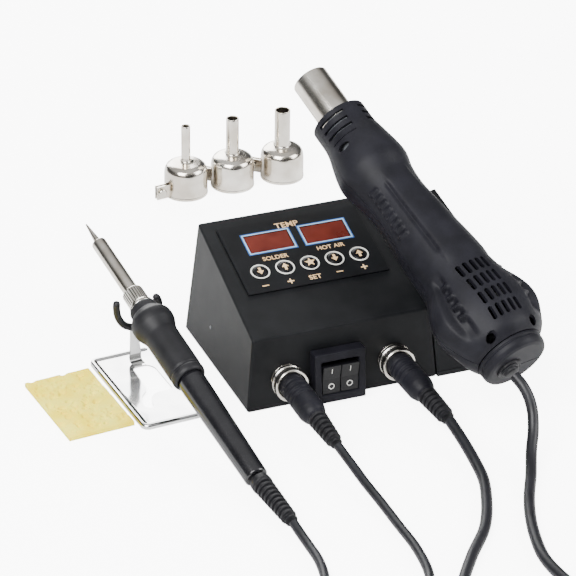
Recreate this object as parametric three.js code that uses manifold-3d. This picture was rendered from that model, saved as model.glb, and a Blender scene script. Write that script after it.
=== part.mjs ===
// Two-in-one rework station: a wedge-shaped control box with a hot-air gun in its side cradle,
// a soldering iron on a stamped stand, a sponge and three loose air nozzles.
// Millimetres, +Z up. The origin is the centre of the control box's underside,
// +X runs right along the box's width and +Y to its back. Everything stands on z = 0.
import * as THREE from 'three';
import { ConvexGeometry } from 'three/addons/geometries/ConvexGeometry.js';
import { mergeVertices } from 'three/addons/utils/BufferGeometryUtils.js';
import Module from 'manifold-3d';

const wasm = await Module();
wasm.setup();

// ---- Driving dimensions ----
const GAP = 0.3;                 // clearance between neighbouring pieces
const BOX_WIDTH = 117;           // control box at its base
const BOX_DEPTH = 103.7;
const BOX_FRONT_HEIGHT = 44.8;   // up to the fold between front face and panel
const BOX_BACK_HEIGHT = 71.7;
const FOLD_SETBACK = 3.5;        // the front face leans back by this much at the fold
const TOP_SETBACK = 4.7;         // and the back wall leans forward at the top
const SIDE_DRAFT = 0.093;        // side walls, sideways per millimetre of height
const WALL = 2.5;
const BASE_THICK = 3;

const OVERLAY = { width: 86.6, height: 55.5, thick: 0.8, x: -0.7, top: 9.5 };
const WINDOW = { width: 26.4, height: 13.6, offset: 17.4, drop: 26.2 };
const BUTTON = { radius: 4.3, pitch: 15.3, drop: 48.6, x: -0.5, length: 8.7 };
const SOCKET_X = [-35, 30.5];
const SOCKET_HEIGHT = 18;
const SWITCH = { x: -4.7, low: 1.2, width: 31, height: 31, proud: 8 };
const ROCKER = { width: 10.9, height: 18.6, depth: 9, pivot: 3, tilt: 8 };

const GUN_REAR = new THREE.Vector3(74.3, -113.3, 42);   // centre of the gun's rear rim
const GUN_TIP = new THREE.Vector3(28, 73.5, 138);       // centre of the air tube's mouth
const AIR_TUBE_RADIUS = 11;                             // standard 22 mm tube
const CRADLE_RADIUS = 23.2;

const IRON_REAR = new THREE.Vector3(-82.1, -127.8, 8.2);
const IRON_COLLAR = new THREE.Vector3(-100.5, -10.3, 46);

const STAND = { x: -103.1, y: -6.8, width: 38, length: 82, turn: 3.8, height: 3 };
const SPONGE = { x: -144.6, y: -10.3, width: 39.5, length: 65, thick: 3.4, turn: 5 };
const NOZZLE_Y = 214.3;
const NOZZLE_X = [1.4, 33, 67.1];
const NOZZLE_TURN = [8, -42, -42];   // which way each clamp ear points, from the left
const NOZZLE_BORES = [2.2, 3.4, 4.3];

const IRON_CORD_RADIUS = 2.65;
const GUN_CORD_RADIUS = 3.2;

// ---- Materials ----
const material = (color, roughness, metalness = 0) =>
  new THREE.MeshStandardMaterial({ color, roughness, metalness });
const BLACK_PAINT = material(0x17181b, 0.5);
const BLACK_PLASTIC = material(0x1b1b1e, 0.55);
const GLOSS_BLACK = material(0x0c0d10, 0.2);
const RUBBER = material(0x202124, 0.8);
const CHROME = material(0xd6d8da, 0.15, 1);
const STEEL = material(0xb9b6b0, 0.3, 1);
const RED_WINDOW = material(0x8c1a14, 0.2);
const BOARD_GREEN = material(0x1f5a38, 0.5);
const DARK_METAL = material(0x55585c, 0.45, 0.8);
const COPPER = material(0xa5673f, 0.4, 0.8);
const CERAMIC = material(0xe6e2d8, 0.7);
const SPONGE_YELLOW = material(0xe9d45a, 0.95);

// ---- Solids: three.js geometry in, manifold booleans, three.js geometry out ----
function solidOf(geometry) {
  const plain = geometry.clone();
  plain.deleteAttribute('normal');
  plain.deleteAttribute('uv');
  const merged = mergeVertices(plain, 1e-4);
  const corners = merged.index.array;
  const kept = [];
  for (let i = 0; i < corners.length; i += 3) {
    const [a, b, c] = [corners[i], corners[i + 1], corners[i + 2]];
    if (a !== b && b !== c && c !== a) kept.push(a, b, c);
  }
  const vertProperties = new Float32Array(merged.attributes.position.array);
  const triVerts = new Uint32Array(kept);
  return new wasm.Manifold(new wasm.Mesh({ numProp: 3, vertProperties, triVerts }));
}

const asSolid = (shape) => (shape.isBufferGeometry ? solidOf(shape) : shape);
const join = (...shapes) => shapes.map(asSolid).reduce((whole, next) => whole.add(next));
const cut = (body, ...tools) => tools.reduce((left, tool) => left.subtract(asSolid(tool)), asSolid(body));
const common = (one, other) => asSolid(one).intersect(asSolid(other));

function geometryOf(solid) {
  const found = solid.getMesh();
  const geometry = new THREE.BufferGeometry();
  geometry.setAttribute('position', new THREE.BufferAttribute(found.vertProperties, 3));
  geometry.setIndex(new THREE.BufferAttribute(found.triVerts, 1));
  const flat = geometry.toNonIndexed();
  flat.computeVertexNormals();
  return flat;
}

// ---- Shapes ----
const block = (sizeX, sizeY, sizeZ, x, y, z) =>
  new THREE.BoxGeometry(sizeX, sizeY, sizeZ).translate(x, y, z);

function rod(axis, radius, length, x, y, z, sides = 20) {
  const geometry = new THREE.CylinderGeometry(radius, radius, length, sides);
  if (axis === 'x') geometry.rotateZ(Math.PI / 2);
  if (axis === 'z') geometry.rotateX(Math.PI / 2);
  return geometry.translate(x, y, z);
}

// A solid of revolution about Y from [radius, y] points; a profile off the axis closes on itself.
function turned(profile, sides = 24) {
  const points = profile.map(([radius, y]) => new THREE.Vector2(radius, y));
  if (THREE.ShapeUtils.area(points) < 0) points.reverse();
  if (points[0].x > 0) points.push(points[0].clone());
  return new THREE.LatheGeometry(points, sides);
}

function prism(outline, thickness) {
  const shape = new THREE.Shape(outline.map(([x, y]) => new THREE.Vector2(x, y)));
  return new THREE.ExtrudeGeometry(shape, { depth: thickness, bevelEnabled: false });
}

// A round bar along a smooth path, with a step every two and a half diameters.
function bar(points, radius, sides = 8) {
  const path = new THREE.CatmullRomCurve3(points.map((p) => new THREE.Vector3(...p)), false, 'centripetal');
  const section = new THREE.Shape();
  for (let i = 0; i < sides; i++) {
    const angle = ((i + 0.5) / sides) * 2 * Math.PI;
    const [x, y] = [radius * Math.cos(angle), radius * Math.sin(angle)];
    if (i === 0) section.moveTo(x, y);
    else section.lineTo(x, y);
  }
  const steps = Math.max(4, Math.round(path.getLength() / (5 * radius)));
  return new THREE.ExtrudeGeometry(section, { steps, extrudePath: path, bevelEnabled: false });
}

// A frame whose Y runs from start to tip, with X level and pointing right.
function frameAlong(start, tip) {
  const axis = tip.clone().sub(start).normalize();
  const up = new THREE.Vector3(0, 0, 1).addScaledVector(axis, -axis.z).normalize();
  const right = axis.clone().cross(up);
  return new THREE.Matrix4().makeBasis(right, axis, up).setPosition(start);
}

const station = new THREE.Group();

function groupAt(matrix) {
  const group = new THREE.Group();
  group.applyMatrix4(matrix);
  station.add(group);
  return group;
}

function add(group, name, shape, look) {
  const mesh = new THREE.Mesh(shape.isBufferGeometry ? shape : geometryOf(shape), look);
  mesh.name = name;
  group.add(mesh);
}

// ---- Control box: planes and frames ----
const HALF_DEPTH = BOX_DEPTH / 2;
const FRONT_LEAN = FOLD_SETBACK / BOX_FRONT_HEIGHT;
const BACK_LEAN = TOP_SETBACK / BOX_BACK_HEIGHT;
const FOLD_Y = -HALF_DEPTH + FOLD_SETBACK;
const TOP_Y = HALF_DEPTH - TOP_SETBACK;
const PANEL_RISE = (BOX_BACK_HEIGHT - BOX_FRONT_HEIGHT) / (TOP_Y - FOLD_Y);
const PANEL_ANGLE = Math.atan(PANEL_RISE);
const FRONT_ANGLE = Math.atan(FRONT_LEAN);
const halfWidth = (z) => BOX_WIDTH / 2 - SIDE_DRAFT * z;

// The box's outline moved inwards by inset on every wall, reaching down to the level bottom.
function wedge(inset, bottom) {
  const panelStart = BOX_FRONT_HEIGHT - inset / Math.cos(PANEL_ANGLE);
  const foldZ = (panelStart + PANEL_RISE * (inset - FOLD_SETBACK)) / (1 - PANEL_RISE * FRONT_LEAN);
  const topZ = (panelStart + PANEL_RISE * (HALF_DEPTH - inset - FOLD_Y)) / (1 + PANEL_RISE * BACK_LEAN);
  const frontY = (z) => -HALF_DEPTH + inset + FRONT_LEAN * z;
  const backY = (z) => HALF_DEPTH - inset - BACK_LEAN * z;
  const profile = [[frontY(bottom), bottom], [frontY(foldZ), foldZ], [backY(topZ), topZ], [backY(bottom), bottom]];
  const points = [];
  for (const side of [-1, 1]) {
    for (const [y, z] of profile) points.push(new THREE.Vector3(side * (halfWidth(z) - inset), y, z));
  }
  return new ConvexGeometry(points);
}

// The panel's frame has its origin at the middle of the top edge, Y up the slope and Z off its face.
const panelMatrix = new THREE.Matrix4().makeBasis(
  new THREE.Vector3(1, 0, 0),
  new THREE.Vector3(0, Math.cos(PANEL_ANGLE), Math.sin(PANEL_ANGLE)),
  new THREE.Vector3(0, -Math.sin(PANEL_ANGLE), Math.cos(PANEL_ANGLE)),
).setPosition(0, TOP_Y, BOX_BACK_HEIGHT);
// The front face's frame has its origin at the middle of the bottom edge, Y up the face and Z out of it.
const frontMatrix = new THREE.Matrix4().makeBasis(
  new THREE.Vector3(1, 0, 0),
  new THREE.Vector3(0, Math.sin(FRONT_ANGLE), Math.cos(FRONT_ANGLE)),
  new THREE.Vector3(0, -Math.cos(FRONT_ANGLE), Math.sin(FRONT_ANGLE)),
).setPosition(0, -HALF_DEPTH, 0);
const onPanel = (geometry) => geometry.applyMatrix4(panelMatrix);
const onFront = (geometry) => geometry.applyMatrix4(frontMatrix);
const level = groupAt(new THREE.Matrix4());
const panel = groupAt(panelMatrix);
const front = groupAt(frontMatrix);

const windowX = [-WINDOW.offset, WINDOW.offset];
const buttonX = [-2, -1, 0, 1, 2].map((i) => BUTTON.x + i * BUTTON.pitch);
const switchMiddle = SWITCH.low + SWITCH.height / 2;
const INLET = { width: 27, height: 19.6, z: 22 };

// ---- Control box: shell, base and what is inside ----
function housing() {
  const holes = [];
  for (const x of windowX) {
    const hole = block(WINDOW.width, WINDOW.height, 12, x, -WINDOW.drop, 0);
    holes.push(onPanel(hole));
  }
  for (const x of buttonX) holes.push(onPanel(rod('z', BUTTON.radius + 0.4, 12, x, -BUTTON.drop, 0)));
  for (const x of SOCKET_X) holes.push(onFront(rod('z', 8, 12, x, SOCKET_HEIGHT, 0)));
  holes.push(onFront(block(26.6, 24.6, 12, SWITCH.x, switchMiddle + 0.5, 0)));
  holes.push(block(INLET.width + 2 * GAP, 16, INLET.height + 2 * GAP, 0, HALF_DEPTH, INLET.z));
  for (let i = 0; i < 7; i++) holes.push(block(2.4, 16, 16, -21 + 7 * i, HALF_DEPTH, 50));
  return cut(wedge(0, 0), wedge(WALL, -1), ...holes);
}
add(level, 'housing_shell', housing(), BLACK_PAINT);

function basePlate() {
  const inner = 2 * (WALL + GAP + SIDE_DRAFT * BASE_THICK + 0.2);
  const plate = block(BOX_WIDTH - inner, BOX_DEPTH - inner, BASE_THICK, 0, 0, BASE_THICK / 2);
  const posts = [];
  for (const x of [-36, 36]) {
    for (const y of [-16, 36]) posts.push(block(6, 6, 6, x, y, BASE_THICK + 2.5));
  }
  const pockets = [-38, 38].map((y) => block(90.6, 10.6, 2, 0, y, 0.5));
  return cut(join(plate, ...posts), ...pockets);
}
add(level, 'base_plate', basePlate(), BLACK_PAINT);
add(level, 'rubber_strip_front', block(90, 10, 1.2, 0, -38, 0.6), RUBBER);
add(level, 'rubber_strip_rear', block(90, 10, 1.2, 0, 38, 0.6), RUBBER);

const boardLow = BASE_THICK + 5.5 + GAP;
add(level, 'power_board', block(84, 64, 1.6, 0, 10, boardLow + 0.8), BOARD_GREEN);
const powerTop = boardLow + 1.6 + GAP;
add(level, 'power_transformer', join(
  block(26, 30, 20, -22, 16, powerTop + 10),
  block(32, 18, 14, -22, 16, powerTop + 10),
), COPPER);
add(level, 'smoothing_capacitor', rod('z', 8, 24, 12, 2, powerTop + 12, 20), DARK_METAL);
add(level, 'heat_sink', join(
  block(34, 3, 22, 22, 32, powerTop + 11),
  ...[0, 1, 2, 3, 4].map((i) => block(1.6, 9, 22, 8 + 7 * i, 27, powerTop + 11)),
), STEEL);

function mainsInlet() {
  const body = block(INLET.width, 20, INLET.height, 0, HALF_DEPTH - 8, INLET.z);
  const flange = block(38, 2.4, 24, 0, HALF_DEPTH + GAP + 1.2, INLET.z);
  const socket = block(INLET.width - 4, 16, INLET.height - 5, 0, HALF_DEPTH - 1, INLET.z);
  const pins = [-7, 0, 7].map((x) => block(2, 8, 4, x, HALF_DEPTH - 8, INLET.z + (x === 0 ? 2 : -2)));
  return join(cut(join(body, flange), socket), ...pins);
}
add(level, 'mains_inlet', mainsInlet(), BLACK_PLASTIC);

// ---- Sloping panel: overlay, displays, buttons and their board ----
function overlay() {
  const middle = -(OVERLAY.top + OVERLAY.height / 2);
  const lift = GAP + OVERLAY.thick / 2;
  const holes = windowX.map((x) => block(WINDOW.width + 2 * GAP, WINDOW.height + 2 * GAP, 4, x, -WINDOW.drop, 0));
  for (const x of buttonX) holes.push(rod('z', BUTTON.radius + GAP, 4, x, -BUTTON.drop, 0));
  return cut(block(OVERLAY.width, OVERLAY.height, OVERLAY.thick, OVERLAY.x, middle, lift), ...holes);
}
add(panel, 'panel_overlay', overlay(), GLOSS_BLACK);

const sides = ['left', 'right'];
const MODULE_DEPTH = 7;
const boardTop = -0.4 - MODULE_DEPTH - GAP;
windowX.forEach((x, i) => {
  const lens = block(WINDOW.width, WINDOW.height, OVERLAY.thick, x, -WINDOW.drop, GAP + OVERLAY.thick / 2);
  add(panel, `display_window_${sides[i]}`, lens, RED_WINDOW);
  const display = block(WINDOW.width - 0.8, WINDOW.height - 0.8, MODULE_DEPTH, x, -WINDOW.drop, -0.4 - MODULE_DEPTH / 2);
  add(panel, `display_module_${sides[i]}`, display, GLOSS_BLACK);
});
buttonX.forEach((x, i) => {
  const cap = rod('z', BUTTON.radius, BUTTON.length, x, -BUTTON.drop, 1.6 - BUTTON.length / 2);
  add(panel, `button_${i + 1}`, cap, GLOSS_BLACK);
});
add(panel, 'control_board', block(86, 46, 1.6, 0, -37, boardTop - 0.8), BOARD_GREEN);

// ---- Front face: air and iron sockets with their plugs, mains switches ----
const socketProfile = [
  [0, -12], [7.7, -12], [7.7, GAP], [9.6, GAP], [9.6, 2.3], [7.7, 2.3], [7.7, 9], [6, 9], [6, 3], [0, 3],
];
const ringProfile = [[8.1, 2.7], [9.7, 2.7], [10, 3.4], [10, 10.6], [9.5, 11.2], [8.1, 11.2]];
const PLUG_START = 12.5;

// A moulded plug: its core sits straight in the socket, its ribbed tail sags to the given end point.
function plug(socketX, end, cordRadius) {
  const core = turned([[0, 4], [5.4, 4], [5.4, 9.4], [7.6, 9.6], [7.6, 16], [0, 16]], 20);
  core.rotateX(Math.PI / 2).translate(socketX, SOCKET_HEIGHT, 0);
  const start = new THREE.Vector3(socketX, SOCKET_HEIGHT, PLUG_START).applyMatrix4(frontMatrix);
  const length = start.distanceTo(end);
  const tail = turned([
    [0, 0], [7.2, 0], [7.9, 3], [7.9, 0.42 * length], [6.9, 0.5 * length], [5.6, 0.54 * length],
    [cordRadius + 1.6, length], [0, length],
  ], 20);
  tail.applyMatrix4(frameAlong(start, end));
  return join(onFront(core), tail);
}
const plugEnds = [new THREE.Vector3(-30.9, -116.5, 12), new THREE.Vector3(37.3, -113.5, 12)];
const cordRadii = [IRON_CORD_RADIUS, GUN_CORD_RADIUS];
SOCKET_X.forEach((x, i) => {
  const place = (geometry) => geometry.rotateX(Math.PI / 2).translate(x, SOCKET_HEIGHT, 0);
  add(front, `socket_${sides[i]}`, place(turned(socketProfile)), CHROME);
  add(front, `coupling_ring_${sides[i]}`, place(turned(ringProfile)), CHROME);
  add(level, `plug_${sides[i]}`, plug(x, plugEnds[i], cordRadii[i]), BLACK_PLASTIC);
});

function switchFrame() {
  const bezel = block(SWITCH.width, SWITCH.height, SWITCH.proud, SWITCH.x, switchMiddle, GAP + SWITCH.proud / 2);
  const body = block(26, 24, 17, SWITCH.x, switchMiddle + 0.5, -8);
  const pocket = block(2 * ROCKER.width + 3 * GAP, ROCKER.height + 2, 24, SWITCH.x, switchMiddle, 0);
  return cut(join(bezel, body), pocket);
}
add(front, 'switch_frame', switchFrame(), BLACK_PLASTIC);

// A rocker lies with its lower half pressed in; its face is two flats that meet over the pivot.
function rocker(x) {
  const half = ROCKER.height / 2;
  const crown = ROCKER.pivot + 6;
  const outline = [[-half, crown], [0, crown - 1.2], [half, crown], [half - 3, -2], [-half + 3, -2]];
  const geometry = prism(outline, ROCKER.width).translate(0, -ROCKER.pivot, -ROCKER.width / 2);
  geometry.rotateY(Math.PI / 2).rotateX(Math.PI / 2);
  geometry.rotateX(THREE.MathUtils.degToRad(ROCKER.tilt));
  return geometry.translate(x, switchMiddle, ROCKER.pivot);
}
sides.forEach((side, i) => {
  const offset = (i - 0.5) * (ROCKER.width + GAP);
  add(front, `rocker_${side}`, solidOf(rocker(SWITCH.x + offset)), BLACK_PLASTIC);
});

// ---- Cradle on the box's right wall ----
const gunMatrix = frameAlong(GUN_REAR, GUN_TIP);
const gun = groupAt(gunMatrix);
const GUN_LENGTH = GUN_REAR.distanceTo(GUN_TIP);

// Part of a tube about the gun's axis: from angle low to angle high, measured up from the right.
function trough(inner, outer, low, high, start, end) {
  const shape = new THREE.Shape();
  const [from, to] = [low, high].map(THREE.MathUtils.degToRad);
  shape.absarc(0, 0, outer, from, to, false);
  shape.absarc(0, 0, inner, to, from, true);
  const geometry = new THREE.ExtrudeGeometry(shape, { depth: end - start, bevelEnabled: false, curveSegments: 14 });
  return geometry.rotateX(Math.PI / 2).translate(0, end, 0).applyMatrix4(gunMatrix);
}

// Everything left of the box's right wall, carried on upwards.
function besideBox() {
  const [low, high] = [-5, 200];
  const outline = [[-80, low], [halfWidth(low) + GAP, low], [halfWidth(high) + GAP, high], [-80, high]];
  return prism(outline, 300).rotateX(Math.PI / 2).translate(0, 150, 0);
}

function gunHolder() {
  const cradle = trough(CRADLE_RADIUS - 1, CRADLE_RADIUS + 2.6, -158, 2, 74, 106);
  const arm = trough(CRADLE_RADIUS - 1, CRADLE_RADIUS + 3.8, -70, 1, 86, 119);
  const web = prism([[-HALF_DEPTH, 0], [36, 0], [30, 48], [2, 48.5], [-6, 62], [-40, 58], [-48, 44]], 5);
  web.rotateZ(Math.PI / 2).rotateY(Math.PI / 2).translate(58, 0, 0);
  const foot = block(30, 84, 3, 73, -10, 1.5);
  const gusset = prism([[57, 0], [88, 0], [88, 6], [70, 40], [56, BOX_FRONT_HEIGHT]], 4);
  gusset.translate(0, 0, -4);
  const about = (radius, start, end, sides) =>
    rod('y', radius, end - start, 0, (start + end) / 2, 0, sides).applyMatrix4(gunMatrix);
  const spaces = [about(CRADLE_RADIUS, -40, 2 * GUN_LENGTH, 40), about(38, -20, 60, 32), about(27, 55, 74, 32)];
  return cut(join(cradle, arm, web, foot, onFront(gusset)), ...spaces, wedge(-GAP, -2), besideBox());
}
add(level, 'gun_holder', gunHolder(), BLACK_PLASTIC);

// ---- Hot-air gun, about its own axis: Y runs from the rear rim to the tube's mouth ----
const SKIN = 2.2;
// The skin from rear rim to nose: [radius, place along the axis, shift of its middle towards the thumb].
const gunOutline = [
  [20.4, 4, 1.8], [23.6, 9, 2.1], [25.2, 17, 2], [26.1, 28, 2], [25.1, 40, 2.2], [23.5, 50, 2.4], [22.4, 60, 2.2],
  [21.5, 74, 1.6], [20.4, 88, 0.9], [19.6, 98, 0.8], [18.9, 108, 0.5], [18.5, 120, -0.3], [19.7, 132, -1],
  [21.9, 143, -1], [21.1, 150, -0.8], [19.4, 158, -0.4], [17.9, 164.5, 0], [17.4, 167, 0], [16.8, 183, 0],
];
const NOSE = gunOutline[gunOutline.length - 1][1];
const SHIFT_ANGLE = THREE.MathUtils.degToRad(55);
// Two rounded cheeks beside the fan, measured round from the gun's back.
const CHEEK = { height: 7.8, middle: 30, reach: 31, back: 93, angle: 82, spread: 30 };

function skinRise(angle, along, shift) {
  const fromBack = Math.acos(Math.cos(angle - THREE.MathUtils.degToRad(CHEEK.back)));
  const across = (THREE.MathUtils.radToDeg(fromBack) - CHEEK.angle) / CHEEK.spread;
  const lengthwise = Math.min(1, Math.abs(along - CHEEK.middle) / CHEEK.reach);
  const cheek = CHEEK.height * Math.exp(-(across ** 2)) * Math.cos((Math.PI / 2) * lengthwise) ** 2;
  return cheek + shift * Math.cos(angle - SHIFT_ANGLE);
}

function gunSkin() {
  const inside = gunOutline.map(([radius, y]) => [radius - SKIN, y]).reverse();
  const geometry = turned([...gunOutline, ...inside], 36);
  const place = geometry.attributes.position;
  for (let i = 0; i < place.count; i++) {
    const [x, y, z] = [place.getX(i), place.getY(i), place.getZ(i)];
    const row = gunOutline.find(([, along]) => along > y - 0.01);
    const angle = Math.atan2(z, x);
    const radius = Math.hypot(x, z) + skinRise(angle, y, row[2]);
    place.setXYZ(i, radius * Math.cos(angle), y, radius * Math.sin(angle));
  }
  return geometry;
}

function gunShell() {
  const holes = [];
  for (let row = 0; row < 4; row++) {
    for (let column = 0; column < 5; column++) {
      holes.push(block(2.4, 8.6, 30, -9.6 + 4.2 * column, 19 + 10.6 * row, 25));
    }
  }
  for (let row = 0; row < 3; row++) {
    holes.push(block(20, 1.6, 16, -18, 169 + 5 * row, 12));
    holes.push(block(12, 1.6, 10, 12, 169 + 5 * row, 17));
  }
  holes.push(block(8, 3.6, 8, -17, 158.5, 11));
  return cut(gunSkin(), ...holes);
}
const shell = gunShell();
const above = block(80, 240, 60, 0, 90, 30 + GAP / 2);
const below = block(80, 240, 60, 0, 90, -30 - GAP / 2);
add(gun, 'gun_shell_top', common(shell, above), BLACK_PLASTIC);
add(gun, 'gun_shell_bottom', common(shell, below), BLACK_PLASTIC);

const REAR = { x: 1, z: 1.5, face: -4.5 };       // the end cap's middle and its flat face
const GLAND = { x: -4.6, z: 0.6, radius: 7.4 };
const capProfile = [
  [0, REAR.face], [17, REAR.face], [18.9, REAR.face + 0.9], [19.9, -1], [20.2, 4 - GAP], [0, 4 - GAP],
];
const capHole = rod('y', GLAND.radius + GAP, 30, GLAND.x, 0, GLAND.z);
const cap = turned(capProfile, 28).translate(REAR.x, 0, REAR.z);
add(gun, 'gun_rear_cap', cut(cap, capHole), BLACK_PLASTIC);
const glandProfile = [
  [0, REAR.face - 4], [5, REAR.face - 4], [5.6, REAR.face - 2], [GLAND.radius, REAR.face - 1.6],
  [GLAND.radius, 4 - GAP], [0, 4 - GAP],
];
add(gun, 'gun_cable_gland', turned(glandProfile, 16).translate(GLAND.x, 0, GLAND.z), RUBBER);

const tubeProfile = [[AIR_TUBE_RADIUS - 0.8, 140], [AIR_TUBE_RADIUS, 140], [AIR_TUBE_RADIUS, GUN_LENGTH], [AIR_TUBE_RADIUS - 0.8, GUN_LENGTH]];
add(gun, 'air_tube', turned(tubeProfile, 28), STEEL);
const insulatorProfile = [[AIR_TUBE_RADIUS + GAP, 142], [14.2, 142], [14.2, 180], [AIR_TUBE_RADIUS + GAP, 180]];
add(gun, 'tube_insulator', turned(insulatorProfile, 20), CERAMIC);
add(gun, 'air_heater', rod('y', 8.5, 60, 0, 170, 0, 16), CERAMIC);
add(gun, 'fan_motor', rod('y', 11, 24, 0, 58, 0, 20), DARK_METAL);

function fanRotor() {
  const hub = rod('y', 6, 14, 0, 38, 0, 16);
  const blades = [];
  for (let i = 0; i < 8; i++) {
    const blade = block(14, 12, 1.2, 12, 38, 0);
    blades.push(blade.rotateY((i * Math.PI) / 4));
  }
  return join(hub, ...blades);
}
add(gun, 'fan_rotor', fanRotor(), GLOSS_BLACK);

// ---- Soldering iron, about its own axis: Y runs from the handle's rear to the tip ----
const iron = groupAt(frameAlong(IRON_REAR, IRON_COLLAR));
const COLLAR = IRON_REAR.distanceTo(IRON_COLLAR);
add(iron, 'iron_handle', turned([[0, 0], [6.3, 0], [6.7, 2], [7.9, 76], [7.4, 77], [7.4, COLLAR - 5], [0, COLLAR - 5]], 20), BLACK_PLASTIC);
const gripProfile = [
  [7.7, 77.6], [9.2, 77.6], [9.8, 80], [9.8, COLLAR - 10], [12, COLLAR - 6], [12.6, COLLAR - 2], [12.4, COLLAR + 1],
  [10.6, COLLAR + 4.2], [9.2, COLLAR + 6], [8.4, COLLAR + 10.6], [7.6, COLLAR + 11.6], [6.2, COLLAR + 11.6],
  [6.2, COLLAR - 4.6], [7.7, COLLAR - 4.6],
];
add(iron, 'iron_grip', turned(gripProfile, 24), RUBBER);
const nutProfile = [[3.9, 11.9], [7.2, 11.9], [7.2, 13.6], [6.3, 14.2], [6.3, 24.2], [5.6, 24.8], [3.9, 24.8]];
const fromCollar = (profile) => profile.map(([radius, y]) => [radius, COLLAR + y]);
add(iron, 'barrel_nut', turned(fromCollar(nutProfile), 24), CHROME);
const sleeveProfile = [[3.5, 25.1], [4.35, 25.1], [4.35, 66.9], [3.9, 67.4], [2.5, 67.4], [2.5, 66.6], [3.5, 66.6]];
add(iron, 'tip_sleeve', turned(fromCollar(sleeveProfile), 20), STEEL);
const tipProfile = [[2.2, 27], [3.2, 27], [3.2, 64.5], [2.1, 66], [1.8, 69], [0.45, 83.4], [0, 84], [0, 60], [2.2, 60]];
add(iron, 'iron_tip', turned(fromCollar(tipProfile).reverse(), 16), STEEL);
const heaterProfile = [[0, -4.4], [3.4, -4.4], [3.4, 18], [1.8, 19], [1.8, 58], [0, 58]];
add(iron, 'iron_heater', turned(fromCollar(heaterProfile), 16), CERAMIC);
const BOOT_END = new THREE.Vector3(-78.2, -169.3, 5.2);
const bootStart = IRON_REAR.clone().add(new THREE.Vector3(0.1, -0.5, -0.2));
const bootLength = bootStart.distanceTo(BOOT_END);
const boot = groupAt(frameAlong(bootStart, BOOT_END));
add(boot, 'iron_boot', turned([[0, 2.4], [5.6, 2.4], [5.9, 6], [4.2, bootLength], [0, bootLength]], 16), RUBBER);

// ---- Iron stand: stamped tray with a raised bracket, and a sleeved wire cradle ----
const turnMatrix = (place) => new THREE.Matrix4()
  .makeRotationZ(THREE.MathUtils.degToRad(place.turn)).setPosition(place.x, place.y, 0);
const stand = groupAt(turnMatrix(STAND));
const toStand = turnMatrix(STAND).invert();
const CRADLE_ALONG = COLLAR + 16;
const BRACKET_FOOT = new THREE.Vector3(-100.6, 21, 2.3);
const ironMatrix = frameAlong(IRON_REAR, IRON_COLLAR);

function standBase() {
  const tray = block(STAND.width, STAND.length, STAND.height, 0, 0, STAND.height / 2);
  const hollow = block(STAND.width - 2, STAND.length - 2, STAND.height, 0, 0, STAND.height / 2 - 1);
  const opening = prism([
    [0.6, 20.8], [3.5, 23.2], [10, 22.4], [13, 18], [13, -9], [8.1, -8.2], [3, -8.4], [-1.5, -11.1], [-3.9, -17.2],
    [-4.6, -21.7], [-6.4, -23.2], [-9.3, -21.3], [-9.5, -15.9], [-6.5, -8.9], [-2.5, -5.3], [-0.9, -1.7],
  ], 6).translate(0, 0, -1);
  const top = new THREE.Vector3(0, CRADLE_ALONG, -21.9).applyMatrix4(ironMatrix);
  const rise = BRACKET_FOOT.distanceTo(top);
  const strip = block(10, rise, 1.4, 0, rise / 2, 0).applyMatrix4(frameAlong(BRACKET_FOOT, top));
  return join(cut(tray, hollow, opening), strip.applyMatrix4(toStand));
}
add(stand, 'stand_base', standBase(), CHROME);

const hornPath = [
  [-15.2, 6], [-14.6, 1], [-11.8, -8.5], [-5.5, -17], [0, -19.5], [6, -17.5], [11.5, -12], [13.6, -6], [11.6, 0], [9.6, 2.6],
].map(([x, z]) => [x, CRADLE_ALONG, z]);
const horns = bar(hornPath, 2.1, 8).applyMatrix4(ironMatrix);
add(level, 'stand_horns', horns, RUBBER);

// ---- Sponge and loose air nozzles ----
const spongeGroup = groupAt(turnMatrix(SPONGE));
add(spongeGroup, 'sponge', block(SPONGE.width, SPONGE.length, SPONGE.thick, 0, 0, SPONGE.thick / 2), SPONGE_YELLOW);

function nozzle(bore, turn) {
  const body = turned([
    [13.2, 0], [14, 0], [14, 15], [13.2, 18.2], [10.8, 20.6], [bore + 1.7, 21.8], [bore + 0.7, 23.4], [bore + 0.7, 47],
    [bore, 47], [bore, 20.6], [10.2, 19.6], [13.2, 15],
  ], 24).rotateX(Math.PI / 2);
  const ear = block(10, 4, 9, -17.6, -1.6, 5.7);
  const screw = rod('y', 1.6, 9, -20, -0.3, 5.7, 10);
  const clamp = cut(join(ear, screw), rod('z', 13.4, 60, 0, 0, 20, 24));
  return join(body, clamp.rotate([0, 0, turn]));
}
NOZZLE_X.forEach((x, i) => {
  const made = geometryOf(nozzle(NOZZLE_BORES[i], NOZZLE_TURN[i])).translate(x, NOZZLE_Y, 0);
  add(level, `nozzle_${i + 1}`, made, STEEL);
});

// ---- Cords: each leaves its plug, lies in one neat coil, and comes back to its handset ----
const ironCordOut = [
  [-30.8, -118.6, 11.8], [-29.2, -134, 9], [-27.7, -150, 6.2], [-26, -168, 4.2], [-25.2, -188, 3], [-25, -214, 2.8],
  [-28, -236, 2.8], [-36, -258, 2.8], [-40.4, -274, 2.8], [-41, -284, 2.8],
];
const ironCordBack = [
  [-78, -171.4, 5], [-77.4, -180, 3.6], [-77, -190, 2.8], [-77.4, -206, 2.8], [-82, -226, 2.8], [-94, -246, 2.8],
  [-106, -264, 2.8], [-110.4, -276, 2.8], [-110.8, -284, 2.8],
];
const gunCordOut = [
  [37.6, -116, 11.6], [38.2, -128, 9], [38, -146, 5.6], [35.4, -166, 3.8], [29, -184, 3.4], [17, -208, 3.4],
  [-1.5, -231.6, 3.4], [-18, -256, 3.4], [-30, -284, 3.4], [-38, -306, 3.4], [-39.4, -318, 3.4],
];
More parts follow.
